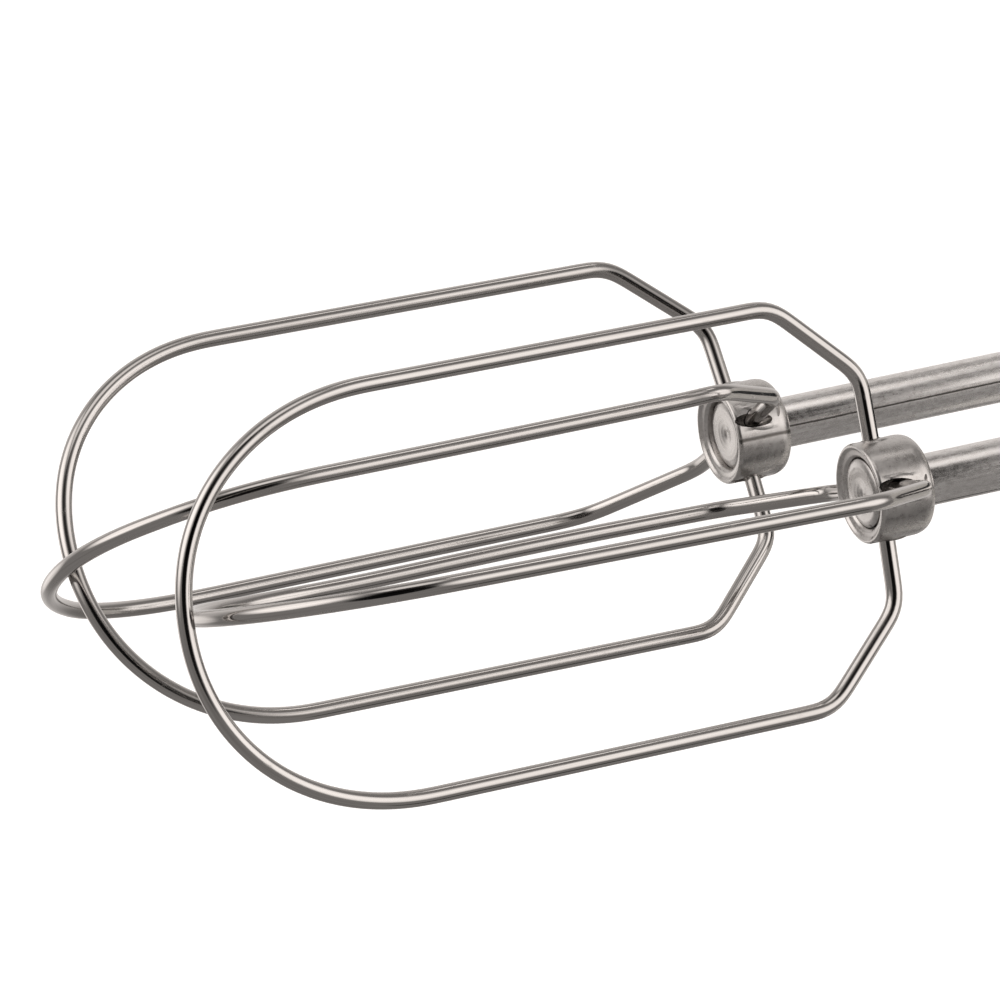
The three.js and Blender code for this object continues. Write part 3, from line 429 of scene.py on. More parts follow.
def shaft_material(side):
    """Satin drawn rod: lengthwise grain, freckles, a broken score along it, dented and painted near black as
    a painted reflection line, and a few short nicks.
    """
    material = bpy.data.materials.new(f"shaft_steel_{side}")
    n = Nodes(material)
    place = n.add("ShaderNodeTexCoord").outputs["Object"]
    grain = n.noise(n.mapped(place, (60, 3200, 3200)), 1.0, 4.0, 0.6)
    freckle = n.noise(n.mapped(place, (900, 1900, 1900)), 1.0, 4.0, 0.7)
    cloud = n.noise(n.mapped(place, (50, 160, 160)), 1.0, 3.0, 0.5)
    cells = n.add("ShaderNodeTexVoronoi", {"Vector": n.mapped(place, (150, 420, 420)), "Scale": 1.0},
                  feature="DISTANCE_TO_EDGE").outputs["Distance"]
    pick = n.noise(n.mapped(place, (90, 130, 130)), 1.0, 1.0)
    nick = n.math("MULTIPLY", n.remap(cells, 0.0, 0.03, 1.0, 0.0), n.remap(pick, 0.66, 0.7, 0.0, 1.0))
    tone = n.blend(grain, freckle, 0.4)
    base = n.ramp(n.remap(tone, 0.36, 0.64, 0.0, 1.0), (0.66, 0.635, 0.62), (1.0, 0.98, 0.965))
    rough = n.math("ADD", n.remap(tone, 0.3, 0.7, 0.2, 0.36), n.remap(cloud, 0.3, 0.7, -0.03, 0.05))
    score_with_painted_reflection = score_line_with_painted_reflection(n, side, SHAFT_SCORE_WITH_PAINTED_REFLECTION[side], 0.17, 0.27)
    marks = n.math("ADD", nick, n.math("MULTIPLY", score_with_painted_reflection, 1.5))
    # painted reflection: the score is coloured near black to stand for a dark reflection along the shaft
    base = n.ramp(n.math("MULTIPLY", score_with_painted_reflection, 0.95), base, (0.1, 0.09, 0.085))
    n.finish(base, rough, n.math("SUBTRACT", n.blend(grain, freckle, 0.5), marks), 0.28, 0.00005)
    return material


RING_PITCH = 2 * math.pi / 9500  # metres from one turning mark to the next


def turned_material(side):
    """Turned steel round the beater's axis: rings on the end faces, freckled sides with one score, dented and
    painted near black as a painted reflection line.
    """
    material = bpy.data.materials.new(f"turned_steel_{side}")
    n = Nodes(material)
    place = n.add("ShaderNodeTexCoord").outputs["Object"]
    from_axis = n.vector("ADD", place, (0, -BEATER_Y[side] * MM, -BEATER_Z * MM))
    radius = n.vector("LENGTH", n.vector("MULTIPLY", from_axis, (0, 1, 1)), output="Value")
    wobble = n.math("MULTIPLY", n.noise(place, 260, 2.0), 3.0)
    rings = n.math("SINE", n.math("ADD", n.math("MULTIPLY", radius, 2 * math.pi / RING_PITCH), wobble))
    freckle = n.noise(place, 1500, 5.0, 0.7)
    cloud = n.noise(place, 240, 3.0)
    tone = n.blend(freckle, cloud, 0.6)
    base = n.ramp(n.remap(tone, 0.35, 0.65, 0.0, 1.0), (0.47, 0.45, 0.435), (0.68, 0.66, 0.645))
    rough = n.remap(tone, 0.3, 0.7, 0.2, 0.38)
    normal = n.add("ShaderNodeNewGeometry").outputs["True Normal"]
    facing = n.add("ShaderNodeSeparateXYZ", {0: normal}).outputs["X"]
    ends = n.remap(n.math("ABSOLUTE", facing), 0.8, 0.95, 0.0, 1.0)
    turned = n.math("MULTIPLY", n.math("MULTIPLY", rings, ends), 0.22)
    height = n.math("ADD", turned, n.math("MULTIPLY", freckle, 0.5))
    score_with_painted_reflection = score_line_with_painted_reflection(n, side, HUB_SCORE_WITH_PAINTED_REFLECTION[side], 0.34, 0.3)
    score_with_painted_reflection = n.math("MULTIPLY", score_with_painted_reflection, n.math("SUBTRACT", 1.0, ends))
    height = n.math("SUBTRACT", height, n.math("MULTIPLY", score_with_painted_reflection, 1.5))
    # painted reflection: the score is coloured near black to stand for a dark reflection along the hub
    base = n.ramp(n.math("MULTIPLY", score_with_painted_reflection, 0.85), base, (0.12, 0.11, 0.1))
    n.finish(base, rough, height, 0.3, 0.00006)
    return material


MATERIAL = {
    "wire": wire_material(),
    "shell": surface("shell_plastic", (0.56, 0.55, 0.53), 0.34, spread=0.025, size=1400, rough_spread=0.05,
                     bump=0.12, depth=0.00003, fine=5200, coat=0.12),
    "dark_plastic": surface("dark_plastic", (0.028, 0.03, 0.033), 0.46, spread=0.25, size=2600, bump=0.3,
                            depth=0.00005, fine=6500),
    "control": surface("control_plastic", (0.40, 0.395, 0.385), 0.38, spread=0.04, size=2200, bump=0.14,
                       depth=0.00003, fine=6500),
    "grip": surface("grip_rubber", (0.045, 0.047, 0.051), 0.72, spread=0.3, size=3000, bump=0.5,
                    depth=0.00008, fine=7500, specular=0.35),
    "pad": surface("pad_rubber", (0.03, 0.03, 0.031), 0.85, spread=0.3, size=1800, bump=0.5,
                   depth=0.0001, specular=0.3),
    "steel": surface("ground_steel", (0.44, 0.435, 0.43), 0.32, 1.0, spread=0.12, size=1800, bump=0.2,
                     depth=0.00003),
    "lamination": surface("laminated_steel", (0.2, 0.2, 0.205), 0.5, 1.0, spread=0.35, grain=(1, 1, 14),
                          size=160, rough_spread=0.12, bump=0.5, depth=0.0001),
    "cast": surface("cast_alloy", (0.46, 0.46, 0.465), 0.52, 1.0, spread=0.15, size=700, bump=0.4,
                    depth=0.00012),
    "copper": surface("enamelled_copper", (0.46, 0.17, 0.06), 0.3, 0.9, spread=0.3, grain=(1, 1, 9),
                      size=260, bump=0.5, depth=0.00015),
    "brass": surface("stamped_brass", (0.56, 0.4, 0.16), 0.34, 1.0, spread=0.15, size=1200, bump=0.2,
                     depth=0.00004),
    "bronze": surface("sintered_bronze", (0.4, 0.25, 0.12), 0.5, 1.0, spread=0.25, size=2400, bump=0.4,
                      depth=0.00006),
    "carbon": surface("carbon", (0.02, 0.02, 0.021), 0.6, spread=0.4, size=2200, bump=0.3, depth=0.00005),
    "nylon": surface("moulded_nylon", (0.74, 0.69, 0.57), 0.42, spread=0.05, bump=0.15, depth=0.00004),
    "board": surface("solder_mask", (0.02, 0.11, 0.045), 0.35, spread=0.3, size=500, bump=0.2,
                     depth=0.00004, coat=0.3),
}


def settle(obj, body, slot, *nodes, material=None):
    """Gives a finished piece its material, its body and the CAD nodes that it stands for."""
    obj.data.materials.clear()
    obj.data.materials.append(material or MATERIAL[slot])
    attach(obj, body)
    if nodes:
        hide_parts(*nodes)


# ---- Beaters ----------------------------------------------------------------------------------
def loop_side(tip, shift, bow, side):
    """Half of a wire loop, from its end in the hub to its tip. side is 1 or -1; only side 1 is bowed."""
    corners = [np.array(c, float) for c in (ENTRY, NECK, SHOULDER, STRAIGHT_END)]

    def leg(start, end, places):
        return [tuple(start + (end - start) * t) for t in places]

    points = leg(corners[0], corners[1], np.linspace(0, 0.72, 8))
    for i, places in enumerate((np.linspace(0.12, 0.72, 6), np.linspace(0.05, 0.97, 22))):
        before, here, after = corners[i:i + 3]
        points += corner_arc(before, here, after, BENDS[i], math.inf, 8)
        points += leg(np.array(points[-1]), after, places)
    for turn in math.pi / 2 * np.arange(30) / 30:
        forward = STRAIGHT_END[0] + (tip - STRAIGHT_END[0]) * math.sin(turn) ** (2 / ROUNDNESS)
        points.append((forward, STRAIGHT_END[1] * math.cos(turn) ** (2 / ROUNDNESS)))
    forward, out = np.array(points).T
    stand = shift * np.clip((forward + 3) / 15, 0, 1) * np.minimum((tip + 12 - forward) / 20, 1)
    sag = bow * np.exp(-(((forward - STRAIGHT_END[0]) / 22) ** 2)) * np.minimum((tip - forward) / 12, 1)
    return np.stack([-forward, sag * (side > 0), side * out + stand], 1)


def loop_path(side, layer):
    """The middle line of one wire loop, in the shared frame."""
    tip, phase, lean, skew, shift, bow = LOOPS[side][layer]
    middle = [[-tip, 0, shift * 0.6]]
    path = np.concatenate([loop_side(tip, shift, bow, 1), middle, loop_side(tip, shift, bow, -1)[::-1]])
    keep = np.concatenate([[True], np.linalg.norm(np.diff(path, axis=0), axis=1) > 0.02])
    path = path[keep]
    turn = (Matrix.Rotation(math.radians(-phase), 3, "X") @ Matrix.Rotation(math.radians(lean), 3, "Y")
            @ Matrix.Rotation(math.radians(skew), 3, "Z"))
    return path @ np.array(turn).T + np.array([HUB_FRONT_X, BEATER_Y[side], BEATER_Z])


def even_path(path, step=0.7):
    """The same path in even steps."""
    length = np.concatenate([[0], np.cumsum(np.linalg.norm(np.diff(path, axis=0), axis=1))])
    places = np.linspace(0, length[-1], int(length[-1] / step))
    return np.stack([np.interp(places, length, path[:, k]) for k in range(3)], 1)


def softened(path, rounds=3):
    """Evens out the small kinks of a path."""
    for _ in range(rounds):
        path[1:-1] = 0.25 * path[:-2] + 0.5 * path[1:-1] + 0.25 * path[2:]
    return path


def wire_loop(side, layer):
    """One wire loop, a little flattened at its tight bends, where a mark for the material says so."""
    path = softened(even_path(loop_path(side, layer)))
    bend = np.zeros(len(path))
    tangent = np.diff(path, axis=0)
    tangent /= np.linalg.norm(tangent, axis=1)[:, None]
    bend[1:-1] = np.linalg.norm(np.diff(tangent, axis=0), axis=1)
    tight = np.clip((np.convolve(bend, np.ones(5) / 5, "same") - 0.09) / 0.15, 0, 1)
    obj = sweep(f"{layer}_wire_{side}", path, WIRE_R * 1.01, WIRE_SIDES, squeeze=1 - 0.07 * tight)
    worked = obj.data.attributes.new("worked", "FLOAT", "POINT")
    worked.data.foreach_set("value", np.repeat(tight, WIRE_SIDES).astype(np.float32))
    settle(obj, f"beater_{side}", "wire", f"wire_loop_{layer}_{side}")


def ellipsoid(name, centre, reach, turn=0.0, steps=20):
    """Centre and half-axes in the frame of one wire hole, turned about the hole."""
    profile = [(math.sin(t), -math.cos(t)) for t in np.linspace(0, math.pi, steps)]
    profile[0], profile[-1] = (0, -1), (0, 1)
    obj = lathe(name, profile, 32, "z")
    move = Matrix.Translation(Vector(centre) * MM) @ Matrix.Rotation(math.radians(turn), 4, "Z")
    obj.data.transform(move @ Matrix.Diagonal((*reach, 1)))
    return obj


def hole_frame(side, phase, end):
    """The frame of one wire hole: Z out of the hub along the wire, X back along the hub."""
    turn = Matrix.Rotation(math.radians(-phase if end > 0 else 180 - phase), 4, "X")
    return Matrix.Translation(Vector((HUB_FRONT_X - ENTRY[0], BEATER_Y[side], BEATER_Z)) * MM) @ turn


def stake(hub_piece, side, phase, end):
    """One wire hole, with the slit and the raised lips that a staking tool leaves."""
    slant = 7 * end
    place = hole_frame(side, phase, end)
    for across in (-1.15, 1.15):
        lip = ellipsoid("lip", (0.5, across, 5.55), (2.2, 0.75, 0.62), slant)
        lip.data.transform(place)
        boolean(hub_piece, lip, "UNION")
    cutters = [
        rod("wire_hole", "z", 1.1, 2.3, 8.0, (0, 0, 0), 32),
        ellipsoid("slit", (-0.35, SLIT_SHIFT[side], 6.6), (2.6, 0.95, 2.1), slant),
        ellipsoid("notch", (3.3, 0.35, 6.5), (0.3, 1.2, 0.75), 18 * end),
    ]
    for cutter in cutters:
        cutter.data.transform(place)
        boolean(hub_piece, cutter)


def hub(side):
    """The turned hub: a rim round its front recess, a bore for the shaft and four staked wire holes."""
    centre = (0, BEATER_Y[side], BEATER_Z)
    lip = -HUB_LIP
    recess = [(4.35, 1.1), (4.35, lip + 0.72), (4.65, lip + 0.42), (5.3, lip + 0.3)]
    rim = [(5.62, lip), (5.9, lip + 0.02), (HUB_R, lip + 0.3)]
    back = [(HUB_R, HUB_BACK - 1.25), (HUB_R - 0.38, HUB_BACK - 0.35), (HUB_R - 1.25, HUB_BACK)]
    rounds = [0, 0.1, 0.2, 0.15, 0.1, 0.12, 0.2, 0.6, 0.5, 0.6, 0]
    profile = [(0, 1.1), *arc_corner([*recess, *rim, *back, (2.2, HUB_BACK)], rounds), (0, HUB_BACK)]
    obj = lathe(f"hub_{side}", [(r, HUB_FRONT_X + a) for r, a in profile], 128, "x", centre)
    boolean(obj, rod("bore", "x", 2.0, HUB_FRONT_X - 1, HUB_FRONT_X + HUB_BACK + 1, centre))
    for setting in LOOPS[side].values():
        for end in (1, -1):
            stake(obj, side, setting[1], end)
    sharpen(obj, 38)
    settle(obj, f"beater_{side}", "hub", f"beater_hub_{side}", material=turned_material(side))


def shaft(side):
    """The shaft, with its head in the hub's recess and the two ears that its spindle drives."""
    y, end = BEATER_Y[side], SHAFT_END_X - HUB_FRONT_X
    head = [(0, 1.02), (3.7, 1.02), (4.0, 1.06), (1.8, 1.08)]
    stem = [(1.8, HUB_BACK + 0.25), (SHAFT_R - 0.15, HUB_BACK + 0.2), (SHAFT_R, HUB_BACK + 0.5)]
    tail = [(SHAFT_R, end - 2.2), (SHAFT_R - 0.25, end - 1.6), (SHAFT_R - 1.5, end - 0.1), (0, end)]
    profile = [(r, HUB_FRONT_X + a) for r, a in head + stem + tail]
    obj = lathe(f"shaft_{side}", profile, 96, "x", (0, y, BEATER_Z))
    ears = prism("ears", rect(-19, y - 4.1, -14, y + 4.1, 0.9), BEATER_Z - 0.8, BEATER_Z + 0.8, "xy")
    boolean(obj, ears, "UNION")
    sharpen(obj, 40)
    settle(obj, f"beater_{side}", "shaft", f"beater_shaft_{side}", material=shaft_material(side))


def rivet_face(side):
    """The riveted end of the shaft, seen in the hub's recess."""
    front = HUB_FRONT_X + RIVET_DEPTH[side]
    face = [(0, 0.3), (0.35, 0.22), (0.9, 0.08), (2.0, -0.06), (3.2, -0.1), (3.85, 0.0), (4.15, 0.2)]
    profile = [(r, front + a) for r, a in face] + [(4.25, HUB_FRONT_X + 0.96), (0, HUB_FRONT_X + 1.0)]
    obj = lathe(f"rivet_{side}", profile, 128, "x", (0, BEATER_Y[side], BEATER_Z))
    settle(obj, f"beater_{side}", "hub", material=bpy.data.materials[f"turned_steel_{side}"])


for side in ("left", "right"):
    for layer in ("outer", "inner"):
        wire_loop(side, layer)
    hub(side)
    shaft(side)
    rivet_face(side)


# ---- Housing ----------------------------------------------------------------------------------
def loft(name, layers):
    """A closed solid through layers of points. Every layer has the same number of points."""
    count = len(layers[0])
    faces = [list(range(count))]
    for step in range(len(layers) - 1):
        low, high = step * count, (step + 1) * count
        faces += [[low + k, low + (k + 1) % count, high + (k + 1) % count, high + k] for k in range(count)]
    faces.append(list(range((len(layers) - 1) * count, len(layers) * count)))
    return outward(make(name, np.concatenate(layers), faces, smooth=False))


def quarter_round(edge, steps):
    """The steps of a rounded edge, from the end face outwards: (depth below the face, inset)."""
    turns = np.linspace(0, math.pi / 2, steps + 1)[::-1]
    return [(edge * (1 - math.sin(t)), edge * (1 - math.cos(t))) for t in turns] if edge else [(0.0, 0.0)]


def cushion(name, outline, low, high, plane, edge_low=0.0, edge_high=0.0, steps=6):
    """outline(inset) extruded from low to high, with quarter-round edges at either end."""
    stations = [(low + depth, inset) for depth, inset in quarter_round(edge_low, steps)]
    stations += [(high - depth, inset) for depth, inset in quarter_round(edge_high, steps)[::-1]]
    layers = [placed([[u, v, place] for u, v in outline(inset)], plane) for place, inset in stations]
    return sharpen(loft(name, layers))


def rect_inset(x0, y0, x1, y1, r, steps=8):
    """A rounded rectangle as a function of its inset, for cushion()."""
    return lambda i: rect(x0 + i, y0 + i, x1 - i, y1 - i, max(r - i, 0.05), steps)


def body_form(name, inset=0.0, around=96):
    """The egg-shaped motor body as rings of a superellipse."""
    low, top, edge = HEEL_Z + inset, NOSE_Z - inset, 4.0
    foot = low + edge * (1 - np.cos(np.linspace(0, math.pi / 2, 8)))
    nose = NOSE_FROM + (top - NOSE_FROM) * np.sin(np.linspace(0, 0.995 * math.pi / 2, 34))
    heights = np.concatenate([foot, np.linspace(low + edge, NOSE_FROM, 44)[1:], nose[1:]])
    angles = 2 * math.pi * np.arange(around) / around
    c, s = np.cos(angles), np.sin(angles)
    c, s = (np.sign(v) * np.abs(v) ** (2 / BODY_POWER) for v in (c, s))
    layers = []
    for z in heights:
        past = max(low + edge - z, 0)
        rounding = edge - math.sqrt(max(edge**2 - past**2, 0))
        share = min(max(z - NOSE_FROM, 0) / (top - NOSE_FROM), 1)
        scale = (1 - share**2.6) ** (1 / 2.6) * (1 - 0.16 * (max(HEEL_TO - z, 0) / HEEL_TO) ** 2)
        low_x, high_x = -BODY_LOW * scale, BODY_HIGH * scale
        rx = max((high_x - low_x) / 2 - inset * scale - rounding, 0.05)
        ry = max(BODY_HALF * scale - inset * scale - rounding, 0.05)
        layers.append(np.stack([(low_x + high_x) / 2 + rx * c, ry * s, np.full(around, z)], 1))
    return loft(name, layers)


def handle_form(name, grow=0.0):
    """The handle loop with its two pillars. grow moves every face out."""
    def outer(inset):
        i = inset - grow
        return rounded_outline([(-12, HEEL_Z + i, 0), (TOP_X - i, HEEL_Z + i, 17 - i),
                                (TOP_X - i, NOSE_Z - 3 - i, 24 - i), (-12, NOSE_Z - 13 - i, 0)], 14)

    def gap(inset):
        i = inset - grow
        return rect(GAP_LOW_X - i, GAP_LOW_Z - i, GAP_HIGH_X + i, GAP_HIGH_Z + i, GAP_CORNER + i, 12)

    half, edge = HANDLE_HALF + grow, HANDLE_ROUND + grow
    form = cushion(name, outer, -half, half, "xz", edge, edge, 10)
    mouth = [(-half - 2, edge)] + [(depth - half, inset) for depth, inset in quarter_round(edge, 10)]
    mouth += [(-y, inset) for y, inset in mouth[::-1]]
    opening = [np.array([[x, y, z] for x, z in gap(inset)]) for y, inset in mouth]
    return boolean(form, loft("gap", opening))


def smoothed(obj, size, rounds):
    """Melts the seams of a joined solid into small fillets."""
    remesh = obj.modifiers.new("remesh", "REMESH")
    remesh.mode = "VOXEL"
    remesh.voxel_size = size * MM
    remesh.use_smooth_shade = True
    soften = obj.modifiers.new("soften", "SMOOTH")
    soften.factor = 0.5
    soften.iterations = rounds
    return apply_modifiers(obj)


def vent_slots():
    """The cooling slots through both sides, with round ends."""
    lows = [VENT_FIRST + VENT_PITCH * k for k in range(VENTS)]
    return [prism("vent", rect(-17, low, 11, low + VENT_TALL, 1.19, 5), -50, 50, "xz") for low in lows]


def eject_hole(gap, corner):
    """The outline of the hole round the eject button."""
    y, z = EJECT_HALF_Y + gap, EJECT_HALF_Z + gap
    return rect(-y, EJECT_Z - z, y, EJECT_Z + z, corner)


def housing_cutters():
    """The openings of the shells: controls, cord, beaters, screws and vents."""
    inner, over = TOP_X - 8, TOP_X + 1
    half = PLATE_HALF + 0.3
    recess = rect(-half, PLATE_LOW - 0.3, half, PLATE_HIGH + 0.3, 3.3)
    slot = rect(-2.4, SELECTOR_Z - 4, 2.4, SELECTOR_Z + SPEED_TRAVEL + 4, 1.5)
    cutters = [
        prism("recess", recess, TOP_X - 1.5, TOP_X + 8, "yz"),
        prism("slot", slot, inner, over, "yz"),
        rod("turbo", "x", TURBO_R + 0.5, inner, over, (0, 0, TURBO_Z)),
        prism("eject", eject_hole(0.5, 2.8), inner, over, "yz"),
        rod("cord", "x", CORD_R + 2.8, TOP_X - 6, TOP_X + 6, (0, 0, CORD_Z)),
    ]
    cutters += [rod("bore", "x", 6.6, -46, -26, (0, y, BEATER_Z)) for y in BEATER_Y.values()]
    for x, z, seat in SCREWS.values():
        cutters.append(rod("shank", "y", SHANK_HOLE_R, seat - 17, seat + 1, (x, 0, z), 24))
        cutters.append(rod("well", "y", WELL_R, seat, 60, (x, 0, z), 40))
    return cutters + vent_slots()


def housing():
    """Both shells: one hollow form with its web and screw bosses, cut open and split down the middle."""
    outer = body_form("outer")
    boolean(outer, handle_form("handle"), "UNION")
    smoothed(outer, 0.85, 14)
    limit = duplicate(outer)
    boolean(outer, body_form("cavity", WALL, 64))
    boolean(outer, handle_form("handle_cavity", -WALL))
    inside = block("web", (58, -17.5, EJECT_Z - 12), (60.5, 17.5, EJECT_Z + 12))
    boolean(inside, rod("guide", "x", 3.5, 50, 70, (0, 0, EJECT_Z)))
    for x, z, _seat in SCREWS.values():
        boolean(inside, rod("boss", "y", BOSS_R, -40, 40, (x, 0, z), 32), "UNION")
    boolean(inside, limit, "INTERSECT")
    boolean(outer, inside, "UNION")
    for cutter in housing_cutters():
        boolean(outer, cutter)
    shells = {"left": (outer, -60, -SPLIT_GAP), "right": (duplicate(outer), SPLIT_GAP, 60)}
    for side, (obj, low, high) in shells.items():
        boolean(obj, block("half", (-60, low, -10), (110, high, 220)), "INTERSECT")
        sharpen(obj, 35)
        obj.name = f"shell_{side}"
        settle(obj, "housing", "shell", f"housing_{side}")


def socket_collar():
    """The dark collar with a belled mouth for each beater."""
    reach = HALF_SPREAD + 10.5
    outline = rect_inset(-reach, BEATER_Z - 10.5, reach, BEATER_Z + 10.5, 10.3, 16)
    obj = cushion("collar", outline, -41.8, -24, "yz", 2.0, 0.0, 8)
    boolean(obj, body_form("seat", 0.15, 96))
    bell = [(6.2, -45), (6.2, -41.7), (5.9, -41.2), (4.7, -39.9), (4.4, -39.3), (4.4, -20)]
    for y in BEATER_Y.values():
        boolean(obj, lathe("mouth", [(0, -45), *bell, (0, -20)], 64, "x", (0, y, BEATER_Z)))
    sharpen(obj, 40)
    settle(obj, "housing", "dark_plastic", "socket_collar")


def heel_pad():
    """The foot: a pad under the body and a tongue under the handle."""
    obj = cushion("pad", rect_inset(-26, -27, 22, 27, 18, 14), 0, 1.8, "xy", 0.5, 0.0, 4)
    boolean(obj, cushion("tongue", rect_inset(10, -9, 72, 9, 6, 10), 0, 1.8, "xy", 0.5, 0.0, 4), "UNION")
    sharpen(obj)
    settle(obj, "housing", "pad", "heel_pad")


def handle_grip():
    """The soft insert on the finger side of the bar, with shallow grooves across it."""
    obj = handle_form("grip", 1.4)
    reach = cushion("reach", rect_inset(-30, 58, 30, 118, 5, 10), 50, 72, "yz", 0.0, 2.0, 5)
    boolean(obj, reach, "INTERSECT")
    skin = handle_form("skin", 3.0)
    boolean(skin, handle_form("floor", 0.95))
    for k in range(10):
        z = 65.5 + 5 * k
        groove = duplicate(skin)
        boolean(groove, block("band", (45, -40, z - 0.5), (68, 40, z + 0.5)), "INTERSECT")
        boolean(obj, groove)
    bpy.data.objects.remove(skin)
    boolean(obj, handle_form("bar", 0.25))
    sharpen(obj, 35)
    settle(obj, "housing", "grip", "handle_grip")


def cord_inlet():
    """The bush that a cord would leave through."""
    profile = [(CORD_R, TOP_X - 5), (5.9, TOP_X - 5), (5.9, TOP_X + 0.3), (8, TOP_X + 0.3),
               (7.7, TOP_X + 2), (5.2, TOP_X + 4), (3.9, TOP_X + 4), (CORD_R, TOP_X + 3.4)]
    profile = arc_corner(profile, [0, 0.3, 0.2, 0.5, 0.9, 1.0, 0.4, 0], 5)
    obj = lathe("inlet", [(0, TOP_X - 5), *profile, (0, TOP_X + 3.4)], 72, "x", (0, 0, CORD_Z))
    boolean(obj, rod("hole", "x", CORD_R, TOP_X - 10, TOP_X + 10, (0, 0, CORD_Z), 72))
    sharpen(obj)
    settle(obj, "housing", "dark_plastic", "cord_inlet")


def screw(place):
    """A cross-head screw along Y, its head in a well on the right side."""
    x, z, seat = SCREWS[place]
    point, top = seat - 15, seat + 2.3
    profile = [(0, point), (0.5, point + 0.3), (1.4, point + 2.2), (1.4, seat + 0.1), (2.7, seat + 0.1),
               (2.7, top - 1.0), (1.9, top - 0.25), (0, top)]
    profile = arc_corner(profile, [0, 0, 0, 0.1, 0.15, 0.7, 0.8, 0], 5)
    obj = lathe(f"screw_{place}", profile, 48, "y", (x, 0, z))
    for dx, dz in ((0.35, 1.6), (1.6, 0.35)):
        boolean(obj, block("cross", (x - dx, top - 1.2, z - dz), (x + dx, top + 1, z + dz)))
    sharpen(obj)
    settle(obj, "housing", "steel", f"housing_screw_{place}")


# ---- Controls ---------------------------------------------------------------------------------
def control_plate():
    """The dark plate round the controls, with a pair of marks for each speed."""
    outline = rect_inset(-PLATE_HALF, PLATE_LOW, PLATE_HALF, PLATE_HIGH, 3, 10)
    obj = cushion("plate", outline, TOP_X - 1.2, TOP_X + 0.6, "yz", 0.0, 0.45, 5)
    under, over = TOP_X - 8, TOP_X + 8
    long_slot = rect(-2.2, SELECTOR_Z - 3.6, 2.2, SELECTOR_Z + SPEED_TRAVEL + 3.6, 1.4)
    boolean(obj, prism("slot", long_slot, under, over, "yz"))
    boolean(obj, rod("turbo", "x", TURBO_R + 0.4, under, over, (0, 0, TURBO_Z), 72))
    boolean(obj, prism("eject", eject_hole(0.3, 2.7), under, over, "yz"))
    for k in range(SPEEDS):
        z = SELECTOR_Z + SPEED_TRAVEL * k / (SPEEDS - 1)
        for y in (-8.2, 8.2):
            boolean(obj, block("mark", (TOP_X + 0.35, y - 0.55, z - 0.22), (TOP_X + 2, y + 0.55, z + 0.22)))
    sharpen(obj)
    settle(obj, "housing", "dark_plastic", "control_plate")


def speed_selector():
    """A saddle-shaped slider with five ridges, and the prong that reaches its switch."""
    z, half = SELECTOR_Z, 7.5
    side = rounded_outline([(TOP_X + 1, z - 8, 0.8), (TOP_X + 1, z + 8, 0.8), (TOP_X + 5.5, z + 7, 1.8),
                            (TOP_X + 3.9, z, 2.5), (TOP_X + 5.5, z - 7, 1.8)], 8)
    obj = prism("selector", side, -half, half, "xz")
    bevel(obj, 0.9, 4, 60)
    for k in range(-2, 3):
        ridge = rect(TOP_X + 2.5, z + 1.9 * k - 0.42, TOP_X + 5.1, z + 1.9 * k + 0.42, 0.4, 5)
        boolean(obj, prism("ridge", ridge, 1.3 - half, half - 1.3, "xz"), "UNION")
    boolean(obj, block("prong", (70.6, -1.7, z - 3), (TOP_X + 1.5, 1.7, z + 3)), "UNION")
    sharpen(obj, 40)
    settle(obj, "selector", "control", "speed_selector")


def turbo_button():
    """A round button with a dished top, a skirt and a stem."""
    profile = [(0, 75.7), (2, 75.7), (2, 78), (TURBO_R, 78),
               (TURBO_R, TOP_X + 3.3), (3.4, TOP_X + 3.75), (0, TOP_X + 3)]
    profile = arc_corner(profile, [0, 0.2, 0.3, 0.2, 1.4, 1.2, 0], 8)
    obj = lathe("turbo", profile, 96, "x", (0, 0, TURBO_Z))
    settle(obj, "turbo", "control", "turbo_button")


def eject_button():
    """A square button with a hollow across its top and three ribs for the thumb."""
    z = EJECT_Z
    outline = rect_inset(-EJECT_HALF_Y, z - EJECT_HALF_Z, EJECT_HALF_Y, z + EJECT_HALF_Z, 2.6, 8)
    obj = cushion("eject", outline, 74.9, TOP_X + 5, "yz", 1.0, 1.5, 6)
    dish_radius = 30
    boolean(obj, rod("dish", "y", dish_radius, -20, 20, (TOP_X + 4.3 + dish_radius, 0, z), 160))
    bevel(obj, 0.35, 3, 30)
    for k in (-1, 0, 1):
        rib = rect(TOP_X + 2, z + 2.2 * k - 0.4, TOP_X + 5, z + 2.2 * k + 0.4, 0.35, 5)
        boolean(obj, prism("rib", rib, -4.2, 4.2, "xz"), "UNION")
    sharpen(obj, 40)
    settle(obj, "ejector", "control", "eject_button")


def eject_spring():
    """A coil between the web and the fork."""
    low, high, turns, coil_radius, closed = 61.1, 72.0, 5.5, 4.0, 0.75
    t = np.linspace(0, 1, 420)
    ease = 0.15 * (np.clip(t * turns, 0, closed) - np.clip(t * turns - turns + closed, 0, closed))
    angle = 2 * math.pi * turns * t + ease
    y, z = coil_radius * np.cos(angle), EJECT_Z + coil_radius * np.sin(angle)
    path = np.stack([low + (high - low) * t, y, z], 1)
    obj = sweep("spring_eject", path, 0.4, 12)
    settle(obj, "ejector", "steel", "eject_spring")
    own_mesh(obj)


housing()
socket_collar()
heel_pad()
handle_grip()
cord_inlet()
for place in SCREWS:
    screw(place)
control_plate()
speed_selector()
turbo_button()
eject_button()
eject_spring()


# ---- CAD nodes that keep their shape ----------------------------------------------------------
def plain_nodes():
    """Gives every CAD node that is still shown the material of its slot."""
    slots = {part["node"]: part["material_slot"] for part in frame["record"]["subparts"]}
    for node, obj in frame["nodes"].items():
        if not obj.hide_render:
            material = MATERIAL.get(slots[node], MATERIAL["steel"])
            for place in obj.material_slots:
                place.material = material


